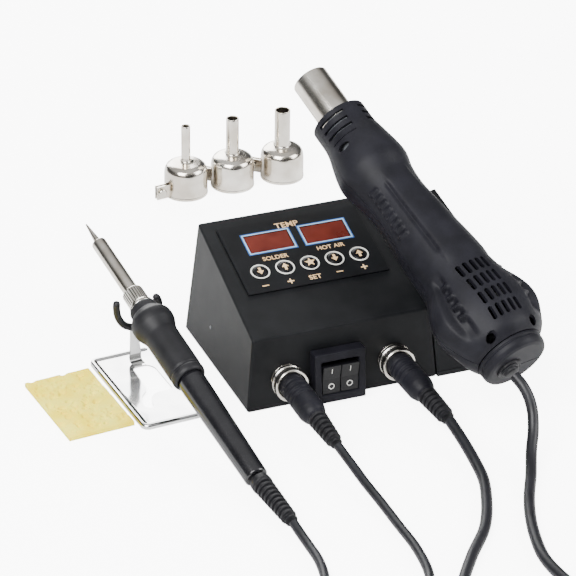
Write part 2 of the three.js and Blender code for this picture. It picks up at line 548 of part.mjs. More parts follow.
const gunCordBack = [
  [71.9, -124.6, 38.4], [73.9, -130.6, 35.4], [75.4, -136, 30.6], [75.6, -141, 24.4], [73.4, -147.6, 17], [68.2, -157, 10.4],
  [60.6, -173, 5.4], [51.6, -190, 3.8], [44.6, -206, 3.4], [38, -226, 3.4], [34, -246, 3.4], [35.4, -268, 3.4],
  [41, -290, 3.4], [45, -308, 3.4], [45.4, -318, 3.4],
];
const cordBar = (points, radius) => bar(points, radius, 10);
add(level, 'iron_cord_lead', cordBar(ironCordOut, IRON_CORD_RADIUS), RUBBER);
add(level, 'iron_cord_return', cordBar(ironCordBack, IRON_CORD_RADIUS), RUBBER);
add(level, 'gun_cord_lead', cordBar(gunCordOut, GUN_CORD_RADIUS), RUBBER);
add(level, 'gun_cord_return', cordBar(gunCordBack, GUN_CORD_RADIUS), RUBBER);

// A coil two turns wide and two turns high, whose middle turn is ten cord radii out.
function coil(cordRadius, x, y) {
  const middle = 10 * cordRadius;
  const [inner, outer] = [middle - 2 * cordRadius, middle + 2 * cordRadius];
  const top = 4.2 * cordRadius;
  const ring = turned([[inner, 0.1], [outer, 0.1], [outer, top], [inner, top]], 32).rotateX(Math.PI / 2);
  return ring.translate(x, y, 0);
}
add(level, 'iron_cord_coil', coil(IRON_CORD_RADIUS, -75.8, -286), RUBBER);
add(level, 'gun_cord_coil', coil(GUN_CORD_RADIUS, 3, -320), RUBBER);

export default station;
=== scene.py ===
"""Looks for a two-in-one rework station: control box, hot-air gun, soldering iron, stand and nozzles."""

import math

import bmesh
import bpy
import numpy as np
from mathutils import Matrix


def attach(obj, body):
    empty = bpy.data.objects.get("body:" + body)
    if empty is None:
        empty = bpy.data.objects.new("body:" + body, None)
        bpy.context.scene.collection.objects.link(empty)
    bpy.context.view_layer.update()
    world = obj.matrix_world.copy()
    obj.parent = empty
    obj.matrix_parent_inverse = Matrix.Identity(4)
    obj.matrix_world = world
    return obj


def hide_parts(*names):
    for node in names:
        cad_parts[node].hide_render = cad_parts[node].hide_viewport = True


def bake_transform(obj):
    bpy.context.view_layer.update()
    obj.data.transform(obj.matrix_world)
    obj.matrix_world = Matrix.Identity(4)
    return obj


bl_info = {
    "name": "Rework station",
    "version": (1, 0, 0),
    "blender": (4, 5, 0),
    "location": "View3D > Sidebar > Station",
    "description": "Builds the visible pieces and finishes of a soldering and hot-air rework station",
    "category": "Add Mesh",
}

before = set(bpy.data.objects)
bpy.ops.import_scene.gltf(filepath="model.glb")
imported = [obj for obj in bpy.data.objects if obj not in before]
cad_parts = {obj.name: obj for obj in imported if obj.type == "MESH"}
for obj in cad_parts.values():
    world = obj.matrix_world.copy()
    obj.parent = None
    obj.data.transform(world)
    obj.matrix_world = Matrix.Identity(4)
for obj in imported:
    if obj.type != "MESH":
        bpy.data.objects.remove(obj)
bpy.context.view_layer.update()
MM = 0.001
TURN = 2 * math.pi

# ---- Places, in millimetres, as in the model of the frame ----
CASE_HEIGHT = 71.7
CASE_FOLD_HEIGHT = 44.8
CASE_FRONT, CASE_FOLD, CASE_TOP_BACK = -51.85, -48.35, 47.15
CASE_HALF_WIDTH = 58.5
CASE_SIDE_LEAN = 0.093
SOCKET_X = {"left": -35.0, "right": 30.5}
SOCKET_HEIGHT = 18.0
PLUG_START = 12.5
WINDOW_X = {"left": -17.4, "right": 17.4}
WINDOW_DROP = 26.2
BUTTON_DROP = 48.6
BUTTON_X = [-0.5 + 15.3 * i for i in (-2, -1, 0, 1, 2)]
SWITCH_X = -4.7
SWITCH_MIDDLE = 16.7
ROCKER_PITCH = 11.2
ROCKER_REST = 8
LABEL_FACE = 1.12
PRINT_FACE = 1.24
# Where the painted highlight of the left wall's dimple sits.
WALL_HIGHLIGHT_DOT = (-56.6, 12.9, 21.1)
GUN_REAR = (74.3, -113.3, 42.0)
GUN_TIP = (28.0, 73.5, 138.0)
IRON_REAR = (-82.1, -127.8, 8.2)
IRON_COLLAR = (-100.5, -10.3, 46.0)
BOOT_END = (-78.2, -169.3, 5.2)
PLUG_ENDS = {"left": (-30.9, -116.5, 12.0), "right": (37.3, -113.5, 12.0)}
# Each nozzle's place across, the radius of its bore, and the turn of its clamp in degrees.
NOZZLES = {"nozzle_1": (1.4, 2.2, 8), "nozzle_2": (33.0, 3.4, -42), "nozzle_3": (67.1, 4.3, -42)}
NOZZLE_Y = 214.3


def axes(start, tip):
    """A place whose second axis runs from start to tip; the first is level and to the right, the third up."""
    start, tip = np.array(start, float), np.array(tip, float)
    along = (tip - start) / np.linalg.norm(tip - start)
    up = np.array([0, 0, 1.0]) - along * along[2]
    up /= np.linalg.norm(up)
    return start, np.array([np.cross(along, up), along, up])


def floor_place(x, y, degrees):
    """A place on the floor, turned about the vertical."""
    turn = math.radians(degrees)
    return np.array([x, y, 0]), np.array([[math.cos(turn), math.sin(turn), 0],
                                          [-math.sin(turn), math.cos(turn), 0], [0, 0, 1.0]])


def put_in(points, place):
    """Local points, (right, along, up), moved to where the place is."""
    start, basis = place
    return start + points @ basis


PANEL_SLOPE = math.atan((CASE_HEIGHT - CASE_FOLD_HEIGHT) / (CASE_TOP_BACK - CASE_FOLD))
FRONT_LEAN = math.atan((CASE_FOLD - CASE_FRONT) / CASE_FOLD_HEIGHT)
PANEL = (np.array([0, CASE_TOP_BACK, CASE_HEIGHT]), np.array([
    [1, 0, 0],
    [0, math.cos(PANEL_SLOPE), math.sin(PANEL_SLOPE)],
    [0, -math.sin(PANEL_SLOPE), math.cos(PANEL_SLOPE)],
]))
FRONT = (np.array([0, CASE_FRONT, 0]), np.array([
    [1, 0, 0],
    [0, math.sin(FRONT_LEAN), math.cos(FRONT_LEAN)],
    [0, -math.cos(FRONT_LEAN), math.sin(FRONT_LEAN)],
]))
FLAT = (np.zeros(3), np.eye(3))
GUN = axes(GUN_REAR, GUN_TIP)
IRON = axes(IRON_REAR, IRON_COLLAR)
COLLAR = float(np.linalg.norm(np.subtract(IRON_COLLAR, IRON_REAR)))
GUN_LENGTH = float(np.linalg.norm(np.subtract(GUN_TIP, GUN_REAR)))


def size_of(name):
    """One of the user's sizes, in millimetres."""
    return getattr(bpy.context.scene.station_sizes, name) / MM


def along_y(place, x, y):
    """A place whose second axis is the given place's third, so that lathe shapes stand out of its plane."""
    start, basis = place
    return start + x * basis[0] + y * basis[1], np.array([basis[0], basis[2], -basis[1]])


# ---- Colour and materials ----
BROAD_CELL = 14
BROAD_RANGE = (0.35, 0.7)


def linear(code):
    """The linear RGBA of a six-digit sRGB colour."""
    parts = [int(code[i:i + 2], 16) / 255 for i in (1, 3, 5)]
    return [c / 12.92 if c <= 0.04045 else ((c + 0.055) / 1.055) ** 2.4 for c in parts] + [1.0]


def add_node(material, kind, **given):
    """Adds one node: what is given goes to the sockets or properties of those names, outputs as links."""
    node = material.node_tree.nodes.new(kind)
    for name, value in given.items():
        socket = node.inputs.get(name.replace("_", " "))
        if isinstance(value, bpy.types.NodeSocket):
            material.node_tree.links.new(value, socket)
        elif socket is not None:
            socket.default_value = value
        else:
            setattr(node, name, value)
    return node


def new_material(name, colour, roughness, **sockets):
    """A material with one principled shader, whose uniform values are set on its own sockets."""
    material = bpy.data.materials.new(name)
    material.use_nodes = True
    colour = linear(colour) if isinstance(colour, str) else colour
    material.diffuse_color = colour
    shader = material.node_tree.nodes["Principled BSDF"]
    shader.inputs["Base Color"].default_value = colour
    shader.inputs["Roughness"].default_value = roughness
    for socket, value in sockets.items():
        shader.inputs[socket.replace("_", " ")].default_value = value
    return material, shader


def grain(material, shader, size, height, colours, rough=None, stretch=(1, 1, 1), detail=3.0):
    """Fine unevenness: noise cells of size mm and height mm for the relief, and broad cells that run between
    the two colours and, where it is given, between the two values of roughness."""
    link = material.node_tree.links.new
    coordinates = add_node(material, "ShaderNodeTexCoord")
    mapping = add_node(material, "ShaderNodeMapping", Vector=coordinates.outputs["Object"], Scale=stretch)
    fine = add_node(material, "ShaderNodeTexNoise", Vector=mapping.outputs[0], Scale=1 / (size * MM),
                    Detail=detail)
    bump = add_node(material, "ShaderNodeBump", Height=fine.outputs[0], Distance=height * MM, Strength=1.0)
    link(bump.outputs[0], shader.inputs["Normal"])
    broad = add_node(material, "ShaderNodeTexNoise", Vector=mapping.outputs[0], Scale=1 / (BROAD_CELL * MM),
                     Detail=4.0)
    ramp = add_node(material, "ShaderNodeValToRGB", Fac=broad.outputs[0])
    for element, position, colour in zip(ramp.color_ramp.elements, BROAD_RANGE, colours):
        element.position = position
        element.color = linear(colour) if isinstance(colour, str) else colour
    link(ramp.outputs[0], shader.inputs["Base Color"])
    if rough:
        spread = add_node(material, "ShaderNodeMapRange", Value=broad.outputs[0], To_Min=rough[0],
                          To_Max=rough[1])
        link(spread.outputs[0], shader.inputs["Roughness"])


def powder_coated_steel():
    # Folded sheet steel, sprayed with fine black powder and baked: a low sheen with a faint sandy grain.
    colours = bpy.context.scene.station_colours
    material, shader = new_material("powder_coated_steel", colours.coat_light, 0.48, IOR=1.5,
                                    Specular_IOR_Level=0.15)
    grain(material, shader, 0.45, 0.03, (colours.coat_dark, colours.coat_light), (0.4, 0.52))
    return material


def moulded_abs():
    # Injection-moulded black ABS from a spark-eroded mould: a satin skin with very fine grain.
    colours = bpy.context.scene.station_colours
    material, shader = new_material("moulded_abs", colours.plastic_light, 0.5, IOR=1.54,
                                    Specular_IOR_Level=0.13)
    grain(material, shader, 0.35, 0.016, (colours.plastic_dark, colours.plastic_light), (0.46, 0.55))
    return material


def polished_abs():
    # The iron's handle: black ABS worn smooth, with long clear highlights.
    material, shader = new_material("polished_abs", "#131316", 0.2, IOR=1.54, Specular_IOR_Level=0.5)
    grain(material, shader, 1.2, 0.006, ("#101013", "#18181b"), (0.16, 0.26))
    return material


def gloss_abs():
    # The same plastic from a polished mould, as on rockers and push buttons.
    material, shader = new_material("gloss_abs", "#0b0b0d", 0.28, IOR=1.54, Specular_IOR_Level=0.24)
    grain(material, shader, 1.2, 0.004, ("#09090b", "#0f0f12"), (0.22, 0.3))
    return material


def printed_polycarbonate():
    # Clear film with black ink behind it: flat, glossy, with the faint waviness of a glued label.
    material, shader = new_material("printed_polycarbonate", "#0b0c0e", 0.34, IOR=1.58,
                                    Specular_IOR_Level=0.12)
    grain(material, shader, 9.0, 0.02, ("#0a0b0d", "#0e0f12"), (0.34, 0.42))
    return material


def silicone_rubber():
    # Moulded soft rubber on the iron's grip and the boots: dull, and slightly dusty in the hollows.
    colours = bpy.context.scene.station_colours
    material, shader = new_material("silicone_rubber", colours.rubber_light, 0.5, IOR=1.43,
                                    Specular_IOR_Level=0.32)
    grain(material, shader, 0.5, 0.02, (colours.rubber_dark, colours.rubber_light), (0.44, 0.58))
    return material


def extruded_pvc():
    # Cord jacket drawn through a die: smooth and satin, with faint marks along its length.
    material, shader = new_material("extruded_pvc", "#131317", 0.42, IOR=1.53, Specular_IOR_Level=0.3)
    grain(material, shader, 1.1, 0.02, ("#101014", "#1a1a1f"), (0.36, 0.5))
    return material


def nickel_plated_brass():
    # Turned brass under bright nickel, slightly warm: mirror-like, with fine turning marks.
    material, shader = new_material("nickel_plated_brass", "#d8d4cc", 0.16, Metallic=1.0)
    grain(material, shader, 0.6, 0.004, ("#c9c4ba", "#e2dfd8"), (0.12, 0.24))
    return material


def drawn_stainless():
    # Deep-drawn stainless steel: soft reflections, light marks and a slightly yellow cast from heat.
    material, shader = new_material("drawn_stainless", "#d9d3ca", 0.18, Metallic=1.0)
    grain(material, shader, 0.8, 0.006, ("#c4bcb0", "#e6e2da"), (0.13, 0.26))
    return material


def chromed_sheet():
    # Stamped sheet with bright chrome plate: a mirror that waves a little where the press drew the metal.
    material, shader = new_material("chromed_sheet", "#dcdcdc", 0.1, Metallic=1.0)
    grain(material, shader, 16.0, 0.12, ("#cfcfd0", "#e6e6e4"), (0.07, 0.16))
    return material


def gilt_ink():
    # Screen-printed tan ink on the panel.
    colours = bpy.context.scene.station_colours
    material, shader = new_material("gilt_ink", colours.print_light, 0.5, IOR=1.5)
    grain(material, shader, 0.3, 0.004, (colours.print_dark, colours.print_light), (0.45, 0.55))
    return material


def pale_blue_ink():
    # Screen-printed light blue ink round the windows.
    material, shader = new_material("pale_blue_ink", "#8fb4d8", 0.5, IOR=1.5)
    grain(material, shader, 0.3, 0.004, ("#83a9cf", "#9cc0e2"), (0.45, 0.55))
    return material


def deep_blue_ink():
    # The darker blue line printed outside the light one.
    material, shader = new_material("deep_blue_ink", "#1d4c8a", 0.5, IOR=1.5)
    grain(material, shader, 0.3, 0.004, ("#19447d", "#225597"), (0.45, 0.55))
    return material


def pale_ink():
    # Pale printed or moulded-in marks on black plastic.
    material, shader = new_material("pale_ink", "#d9d8d2", 0.5, IOR=1.5)
    grain(material, shader, 0.3, 0.004, ("#cccbc5", "#e3e2dd"), (0.45, 0.55))
    return material


def smoked_red_acrylic():
    # Red filter window over a dark display: it looks like dull brown-red glass when the digits are off.
    colours = bpy.context.scene.station_colours
    material, shader = new_material("smoked_red_acrylic", colours.window_light, 0.3, IOR=1.49,
                                    Specular_IOR_Level=0.2)
    grain(material, shader, 9.0, 0.01, (colours.window_dark, colours.window_light), (0.24, 0.34))
    return material


def fibreglass_board():
    # Green solder mask over woven glass.
    material, shader = new_material("fibreglass_board", "#1f5a38", 0.45, IOR=1.5)
    grain(material, shader, 0.9, 0.02, ("#1b5032", "#27683f"), (0.4, 0.5))
    return material


def painted_can():
    # Grey lacquered sheet metal, as on a motor or a capacitor.
    material, shader = new_material("painted_can", "#55585c", 0.4, IOR=1.5)
    grain(material, shader, 0.6, 0.02, ("#4d5054", "#5f6266"), (0.35, 0.46))
    return material


def enamelled_copper():
    # Wound copper wire under clear enamel, with turns about half a millimetre apart.
    material, shader = new_material("enamelled_copper", "#a5673f", 0.35, Metallic=0.9)
    grain(material, shader, 1.5, 0.08, ("#8f5634", "#b9764a"), (0.3, 0.42), stretch=(0.2, 0.2, 3))
    return material


def glazed_ceramic():
    # Fired white ceramic with a dry, fine-pored surface.
    material, shader = new_material("glazed_ceramic", "#e6e2d8", 0.6, IOR=1.55)
    grain(material, shader, 0.5, 0.02, ("#dcd7cb", "#efece4"), (0.55, 0.66))
    return material


def cellulose_sponge():
    # Pressed cellulose: bright yellow, with open pores from half a millimetre to three millimetres wide.
    colours = bpy.context.scene.station_colours
    material, shader = new_material("cellulose_sponge", colours.sponge_light, 0.95, IOR=1.4,
                                    Subsurface_Weight=0.15, Subsurface_Scale=0.002)
    grain(material, shader, 0.7, 0.25, (colours.sponge_dark, colours.sponge_light), detail=5.0)
    return material


MAKERS = {make.__name__: make for make in (
    powder_coated_steel, moulded_abs, polished_abs, gloss_abs, printed_polycarbonate, silicone_rubber,
    extruded_pvc, nickel_plated_brass, drawn_stainless, chromed_sheet, gilt_ink, pale_blue_ink, deep_blue_ink,
    pale_ink, smoked_red_acrylic, fibreglass_board, painted_can, enamelled_copper, glazed_ceramic,
    cellulose_sponge,
)}


def finish(name):
    """The material of that name, made the first time it is asked for."""
    return bpy.data.materials.get(name) or MAKERS[name]()


# ---- Surfaces ----
SHARP_ANGLE = 32


def piece(name, points, faces, look, body, stands_for=(), sharp=SHARP_ANGLE, place=FLAT):
    """A mesh piece from millimetre points, with its faces outwards, riding on its body."""
    points = put_in(np.asarray(points, float), place) * MM
    loops = [tuple(face) for part in faces for face in np.asarray(part).tolist()]
    mesh = bpy.data.meshes.new(name)
    mesh.from_pydata(points.tolist(), [], loops)
    three = np.concatenate([np.asarray(part)[:, [0, i, i + 1]] for part in faces
                            for i in range(1, len(part[0]) - 1)])
    corners = points[three] - points.mean(0)
    volume = np.einsum("ij,ij->i", corners[:, 0], np.cross(corners[:, 1], corners[:, 2])).sum()
    if volume < 0:
        mesh.flip_normals()
    mesh.shade_smooth()
    mesh.set_sharp_from_angle(angle=math.radians(sharp))
    return settle(bpy.data.objects.new(name, mesh), look, body, stands_for)


def settle(made, look, body, stands_for=()):
    """Links a finished object, gives it its material, and lets it ride on its body."""
    if made.name not in bpy.context.scene.collection.objects:
        bpy.context.scene.collection.objects.link(made)
    made.data.materials.clear()
    made.data.materials.append(finish(look))
    if body:
        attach(made, body)
    if stands_for:
        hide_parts(*stands_for)
    return made


def rings(grid, closed=False, flat=False):
    """Quads over a grid whose columns join up. Closed joins the last row to the first; else each end is
    closed, by one flat face or by a fan round its middle."""
    rows, columns = grid.shape[:2]
    row = np.arange(rows if closed else rows - 1)[:, None]
    column = np.arange(columns)[None, :]
    corner = [row * columns + column, row * columns + (column + 1) % columns,
              ((row + 1) % rows) * columns + (column + 1) % columns, ((row + 1) % rows) * columns + column]
    faces = [np.stack(corner, -1).reshape(-1, 4)]
    points = grid.reshape(-1, 3)
    if flat:
        faces += [np.arange(columns)[None, ::-1], np.arange(columns)[None, :] + (rows - 1) * columns]
    elif not closed:
        around = np.arange(columns)
        following = (around + 1) % columns
        last = (rows - 1) * columns
        middles = np.stack([grid[0].mean(0), grid[-1].mean(0)])
        first_fan = np.stack([following, around, np.full(columns, len(points))], -1)
        last_fan = np.stack([around + last, following + last, np.full(columns, len(points) + 1)], -1)
        points = np.concatenate([points, middles])
        faces.append(np.concatenate([first_fan, last_fan]))
    return points, faces


def between(front, back):
    """The closed skin round the space between two grids of one shape, with a band along their borders."""
    rows, columns = front.shape[:2]
    index = np.arange(rows * columns).reshape(rows, columns)
    sheet = np.stack([index[:-1, :-1], index[:-1, 1:], index[1:, 1:], index[1:, :-1]], -1).reshape(-1, 4)
    border = np.concatenate([index[0, :], index[1:, -1], index[-1, -2::-1], index[-2:0:-1, 0]])
    following = np.roll(border, -1)
    other = rows * columns
    band = np.stack([following, border, border + other, following + other], -1)
    points = np.concatenate([front.reshape(-1, 3), back.reshape(-1, 3)])
    return points, [np.concatenate([sheet, sheet[:, ::-1] + other, band])]


def rounded(profile, radius, steps=4):
    """The profile with every inner corner replaced by a quadratic curve that starts radius away from it."""
    profile = np.array(profile, float)
    out = [profile[:1]]
    part = np.linspace(0, 1, steps + 1)[:, None]
    for before, corner, after in zip(profile[:-2], profile[1:-1], profile[2:]):
        reach = [min(radius, 0.45 * np.linalg.norm(p - corner)) for p in (before, after)]
        start, end = [corner + r * (p - corner) / np.linalg.norm(p - corner)
                      for r, p in zip(reach, (before, after))]
        out.append((1 - part) ** 2 * start + 2 * part * (1 - part) * corner + part ** 2 * end)
    return np.concatenate(out + [profile[-1:]])


def turned(profile, sides=72, swell=None):
    """A profile of (radius, along) carried round the second axis; swell(angle, along, radius) adds to it."""
    profile = np.array(profile, float)
    angle = np.linspace(0, TURN, sides, endpoint=False)[None, :]
    radius, along = profile[:, :1], profile[:, 1:] + 0 * angle
    if swell is not None:
        radius = radius + swell(angle, along, radius)
    return np.stack([radius * np.cos(angle), along, radius * np.sin(angle)], -1)


def lathe(name, profile, look, body, place, stands_for=(), sides=72, closed=False, radius=0.3, swell=None,
          sharp=SHARP_ANGLE):
    """A turned piece; a closed profile is a ring's section, an open one starts and ends near the axis."""
    shape = np.array(profile, float)
    if radius and closed:
        shape = rounded(np.concatenate([shape[-1:], shape, shape[:1]]), radius)[1:-1]
    elif radius:
        shape = rounded(shape, radius)
    points, faces = rings(turned(shape, sides, swell), closed)
    return piece(name, points, faces, look, body, stands_for, sharp, place)


def step(value, low, high):
    """Nought below low, one above high, and a smooth rise between."""
    part = np.clip((value - low) / (high - low), 0, 1)
    return part * part * (3 - 2 * part)


def hill(value, low, high, soft):
    """One between low and high, falling to nought over soft on either side."""
    return step(value, low - soft, low) * (1 - step(value, high, high + soft))


def through(points, pace):
    """A smooth line through the points: cubic pieces over the chord length so far."""
    points = np.array(points, float)
    chord = np.concatenate([[0], np.cumsum(np.linalg.norm(np.diff(points, axis=0), axis=1))])
    slope = np.gradient(points, chord, axis=0)
    at = np.linspace(0, chord[-1], int(chord[-1] / pace) + 2)
    i = np.clip(np.searchsorted(chord, at, side="right") - 1, 0, len(chord) - 2)
    span = (chord[i + 1] - chord[i])[:, None]
    u = (at - chord[i])[:, None] / span
    start = (2 * u ** 3 - 3 * u ** 2 + 1) * points[i] + (u ** 3 - 2 * u ** 2 + u) * span * slope[i]
    end = (-2 * u ** 3 + 3 * u ** 2) * points[i + 1] + (u ** 3 - u ** 2) * span * slope[i + 1]
    return start + end


def swept(path, radius, sides=20, level=(0, 0, 1)):
    """A ring of points round every point of the path, square to it; radius may differ from ring to ring."""
    tangent = np.gradient(path, axis=0)
    tangent /= np.linalg.norm(tangent, axis=1)[:, None]
    side = np.cross(tangent, level)
    side /= np.linalg.norm(side, axis=1)[:, None]
    up = np.cross(side, tangent)
    angle = np.linspace(0, TURN, sides, endpoint=False)[None, :, None]
    radius = np.broadcast_to(radius, len(path))[:, None, None]
    return path[:, None] + radius * (np.cos(angle) * side[:, None] + np.sin(angle) * up[:, None])


def prism(outline, low, high):
    """An outline of (x, y) points carried from low to high along z, with flat ends."""
    outline = np.array(outline, float)
    levels = [np.column_stack([outline, np.full(len(outline), z)]) for z in (low, high)]
    return rings(np.array(levels), flat=True)


def stadium(x, y, width, length, steps=8):
    """The outline of a slot with round ends, lengthwise along y."""
    angle = np.linspace(0, math.pi, steps + 1)
    cap = np.column_stack([np.cos(angle), np.sin(angle)]) * width / 2
    straight = (length - width) / 2
    return np.concatenate([cap + [x, y + straight], -cap + [x, y - straight]])


def disc(x, y, radius, steps=32):
    """The outline of a circle."""
    angle = np.linspace(0, TURN, steps, endpoint=False)
    return np.column_stack([x + radius * np.cos(angle), y + radius * np.sin(angle)])


def bevelled(node, width, look, body, segments=3, angle=28):
    """A copy of a frame solid with its doubles merged, its flat faces joined and its edges rounded."""
    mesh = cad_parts[node].data.copy()
    mesh.name = f"{node}_soft_edged"
    work = bmesh.new()
    work.from_mesh(mesh)
    bmesh.ops.remove_doubles(work, verts=work.verts, dist=2e-6)
    bmesh.ops.dissolve_limit(work, angle_limit=math.radians(1.0), verts=work.verts, edges=work.edges)
    work.to_mesh(mesh)
    work.free()
    made = bpy.data.objects.new(f"{node}_soft_edged", mesh)
    mesh.shade_smooth()
    mesh.set_sharp_from_angle(angle=math.radians(angle))
    settle(made, look, body, (node,))
    edge = made.modifiers.new("rounded_edges", "BEVEL")
    edge.width = width * MM
    edge.segments = segments
    edge.limit_method = "ANGLE"
    edge.angle_limit = math.radians(angle)
    edge.harden_normals = True
    return made


def drill(made, tools):
    """Takes the tools, closed (points, faces) skins, out of the piece and keeps its crisp new edges."""
    points, faces, count = [], [], 0
    for tool_points, tool_faces in tools:
        points.append(tool_points)
        faces += [tuple(i + count for i in face) for part in tool_faces for face in np.asarray(part).tolist()]
        count += len(tool_points)
    mesh = bpy.data.meshes.new("tool")
    mesh.from_pydata((np.concatenate(points) * MM).tolist(), [], faces)
    work = bmesh.new()
    work.from_mesh(mesh)
    bmesh.ops.recalc_face_normals(work, faces=work.faces)
    work.to_mesh(mesh)
    work.free()
    tool = bpy.data.objects.new("tool", mesh)
    bpy.context.scene.collection.objects.link(tool)
    cut = made.modifiers.new("cut", "BOOLEAN")
    cut.object, cut.operation, cut.solver = tool, "DIFFERENCE", "EXACT"
    bake(made)
    bpy.data.objects.remove(tool)
    made.data.shade_smooth()
    made.data.set_sharp_from_angle(angle=math.radians(SHARP_ANGLE))
    return made


def bake(made):
    """Applies the piece's modifiers to its mesh."""
    bpy.context.view_layer.update()
    whole = bpy.data.meshes.new_from_object(made.evaluated_get(bpy.context.evaluated_depsgraph_get()))
    made.modifiers.clear()
    made.data = whole


def lettering(name, text, size, x, y, height, look, body, place):
    """Raised printed lettering, centred at (x, y) in the place's plane, made a mesh before it is placed."""
    thick = size_of("print_height")
    curve = bpy.data.curves.new(name, "FONT")
    curve.body, curve.size, curve.align_x, curve.align_y = text, size, "CENTER", "CENTER"
    curve.extrude = thick / 2
    curve.offset = 0.012 * size
    source = bpy.data.objects.new(name + "_text", curve)
    bpy.context.scene.collection.objects.link(source)
    bpy.context.view_layer.update()
    mesh = bpy.data.meshes.new_from_object(source.evaluated_get(bpy.context.evaluated_depsgraph_get()))
    bpy.data.objects.remove(source)
    flat = np.zeros(len(mesh.vertices) * 3)
    mesh.vertices.foreach_get("co", flat)
    points = flat.reshape(-1, 3) + [x, y, height + thick / 2]
    mesh.vertices.foreach_set("co", (put_in(points, place) * MM).ravel())
    work = bmesh.new()
    work.from_mesh(mesh)
    bmesh.ops.remove_doubles(work, verts=work.verts, dist=1e-7)
    bmesh.ops.recalc_face_normals(work, faces=work.faces)
    work.to_mesh(mesh)
    work.free()
    return settle(bpy.data.objects.new(name, mesh), look, body)


def frame_band(x0, x1, y0, y1, band, low, high):
    """A flat rectangular ring: an outer and an inner outline at two heights, joined all round."""
    outer = np.array([[x0, y0], [x1, y0], [x1, y1], [x0, y1]], float)
    inner = np.array([[x0 + band, y0 + band], [x1 - band, y0 + band], [x1 - band, y1 - band],
                      [x0 + band, y1 - band]])
    rows = [(outer, low), (outer, high), (inner, high), (inner, low)]
    return rings(np.array([np.column_stack([o, np.full(4, z)]) for o, z in rows]), closed=True)


def dress(look, *nodes):
    """Gives frame nodes whose shape is already right their finish."""
    for node in nodes:
        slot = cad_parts[node].material_slots[0]
        slot.link = "OBJECT"
        slot.material = finish(look)


# ---- Camera, floor and light ----
def make_stage(settings):
    """A long lens high on the front left, a wide pale floor, and three soft lamps."""
    azimuth, elevation, roll = np.radians([settings.azimuth, settings.elevation, settings.roll])
    forward = np.array([-math.sin(azimuth) * math.cos(elevation), math.cos(azimuth) * math.cos(elevation),
                        -math.sin(elevation)])
    level = np.array([math.cos(azimuth), math.sin(azimuth), 0])
    lifted = np.cross(level, forward)
    right = level * math.cos(roll) + lifted * math.sin(roll)
    up = lifted * math.cos(roll) - level * math.sin(roll)
    spot = np.array(settings.target) - forward * settings.distance
    lens = bpy.data.cameras.new("camera")
    lens.lens, lens.sensor_width = 200, 36
    camera = bpy.data.objects.new("camera", lens)
    camera.matrix_world = Matrix([[right[i], up[i], -forward[i], spot[i]] for i in range(3)] + [[0, 0, 0, 1]])
    bpy.context.scene.collection.objects.link(camera)
    bpy.context.scene.camera = camera
    floor_points = np.array([[x, y, 0] for x, y in ((-9, -9), (9, -9), (9, 9), (-9, 9))], float)
    mesh = bpy.data.meshes.new("floor")
    mesh.from_pydata(floor_points.tolist(), [], [(0, 1, 2, 3)])
    floor = bpy.data.objects.new("floor", mesh)
    bpy.context.scene.collection.objects.link(floor)
    floor.data.materials.append(paper_sweep())
    for name, where, size, power in (("key", (-1.1, -0.9, 1.5), 1.3, 96), ("fill", (1.5, -0.8, 1.1), 1.2, 44),
                                     ("back", (0.1, 1.7, 0.75), 1.2, 46)):
        lamp = bpy.data.lights.new(name, "AREA")
        lamp.size, lamp.energy = size, power * settings.light
        holder = bpy.data.objects.new(name, lamp)
        away = np.array(where) - [0, 0, 0.04]
        away /= np.linalg.norm(away)
        side = np.cross([0, 0, 1.0], away)
        side /= np.linalg.norm(side)
        over = np.cross(away, side)
        holder.matrix_world = Matrix([[side[i], over[i], away[i], where[i]]
                                      for i in range(3)] + [[0, 0, 0, 1]])
        bpy.context.scene.collection.objects.link(holder)
    world = bpy.data.worlds.new("studio")
    world.use_nodes = True
    direction = add_node(world, "ShaderNodeTexCoord")
    parts = add_node(world, "ShaderNodeSeparateXYZ", Vector=direction.outputs["Generated"])
    ramp = add_node(world, "ShaderNodeValToRGB", Fac=parts.outputs["Z"])
    levels = ((0.0, 0.6), (0.12, 0.08), (0.5, 0.12), (0.95, 1.0))
    while len(ramp.color_ramp.elements) < len(levels):
        ramp.color_ramp.elements.new(1.0)
    for element, (place, grey) in zip(ramp.color_ramp.elements, levels):
        element.position, element.color = place, (grey, grey, grey, 1)
    background = world.node_tree.nodes["Background"]
    world.node_tree.links.new(ramp.outputs[0], background.inputs[0])
    background.inputs[1].default_value = settings.surround
    bpy.context.scene.world = world


def paper_sweep():
    # Seamless white paper, lit from behind as far as the camera sees it, so that it comes out white.
    material, shader = new_material("paper_sweep", "#fbfbfb", 0.9, Emission_Color=(7.0, 7.0, 7.0, 1))
    ray = add_node(material, "ShaderNodeLightPath")
    material.node_tree.links.new(ray.outputs["Is Camera Ray"], shader.inputs["Emission Strength"])
    grain(material, shader, 3.0, 0.01, ("#fafafa", "#fcfcfc"))
    return material


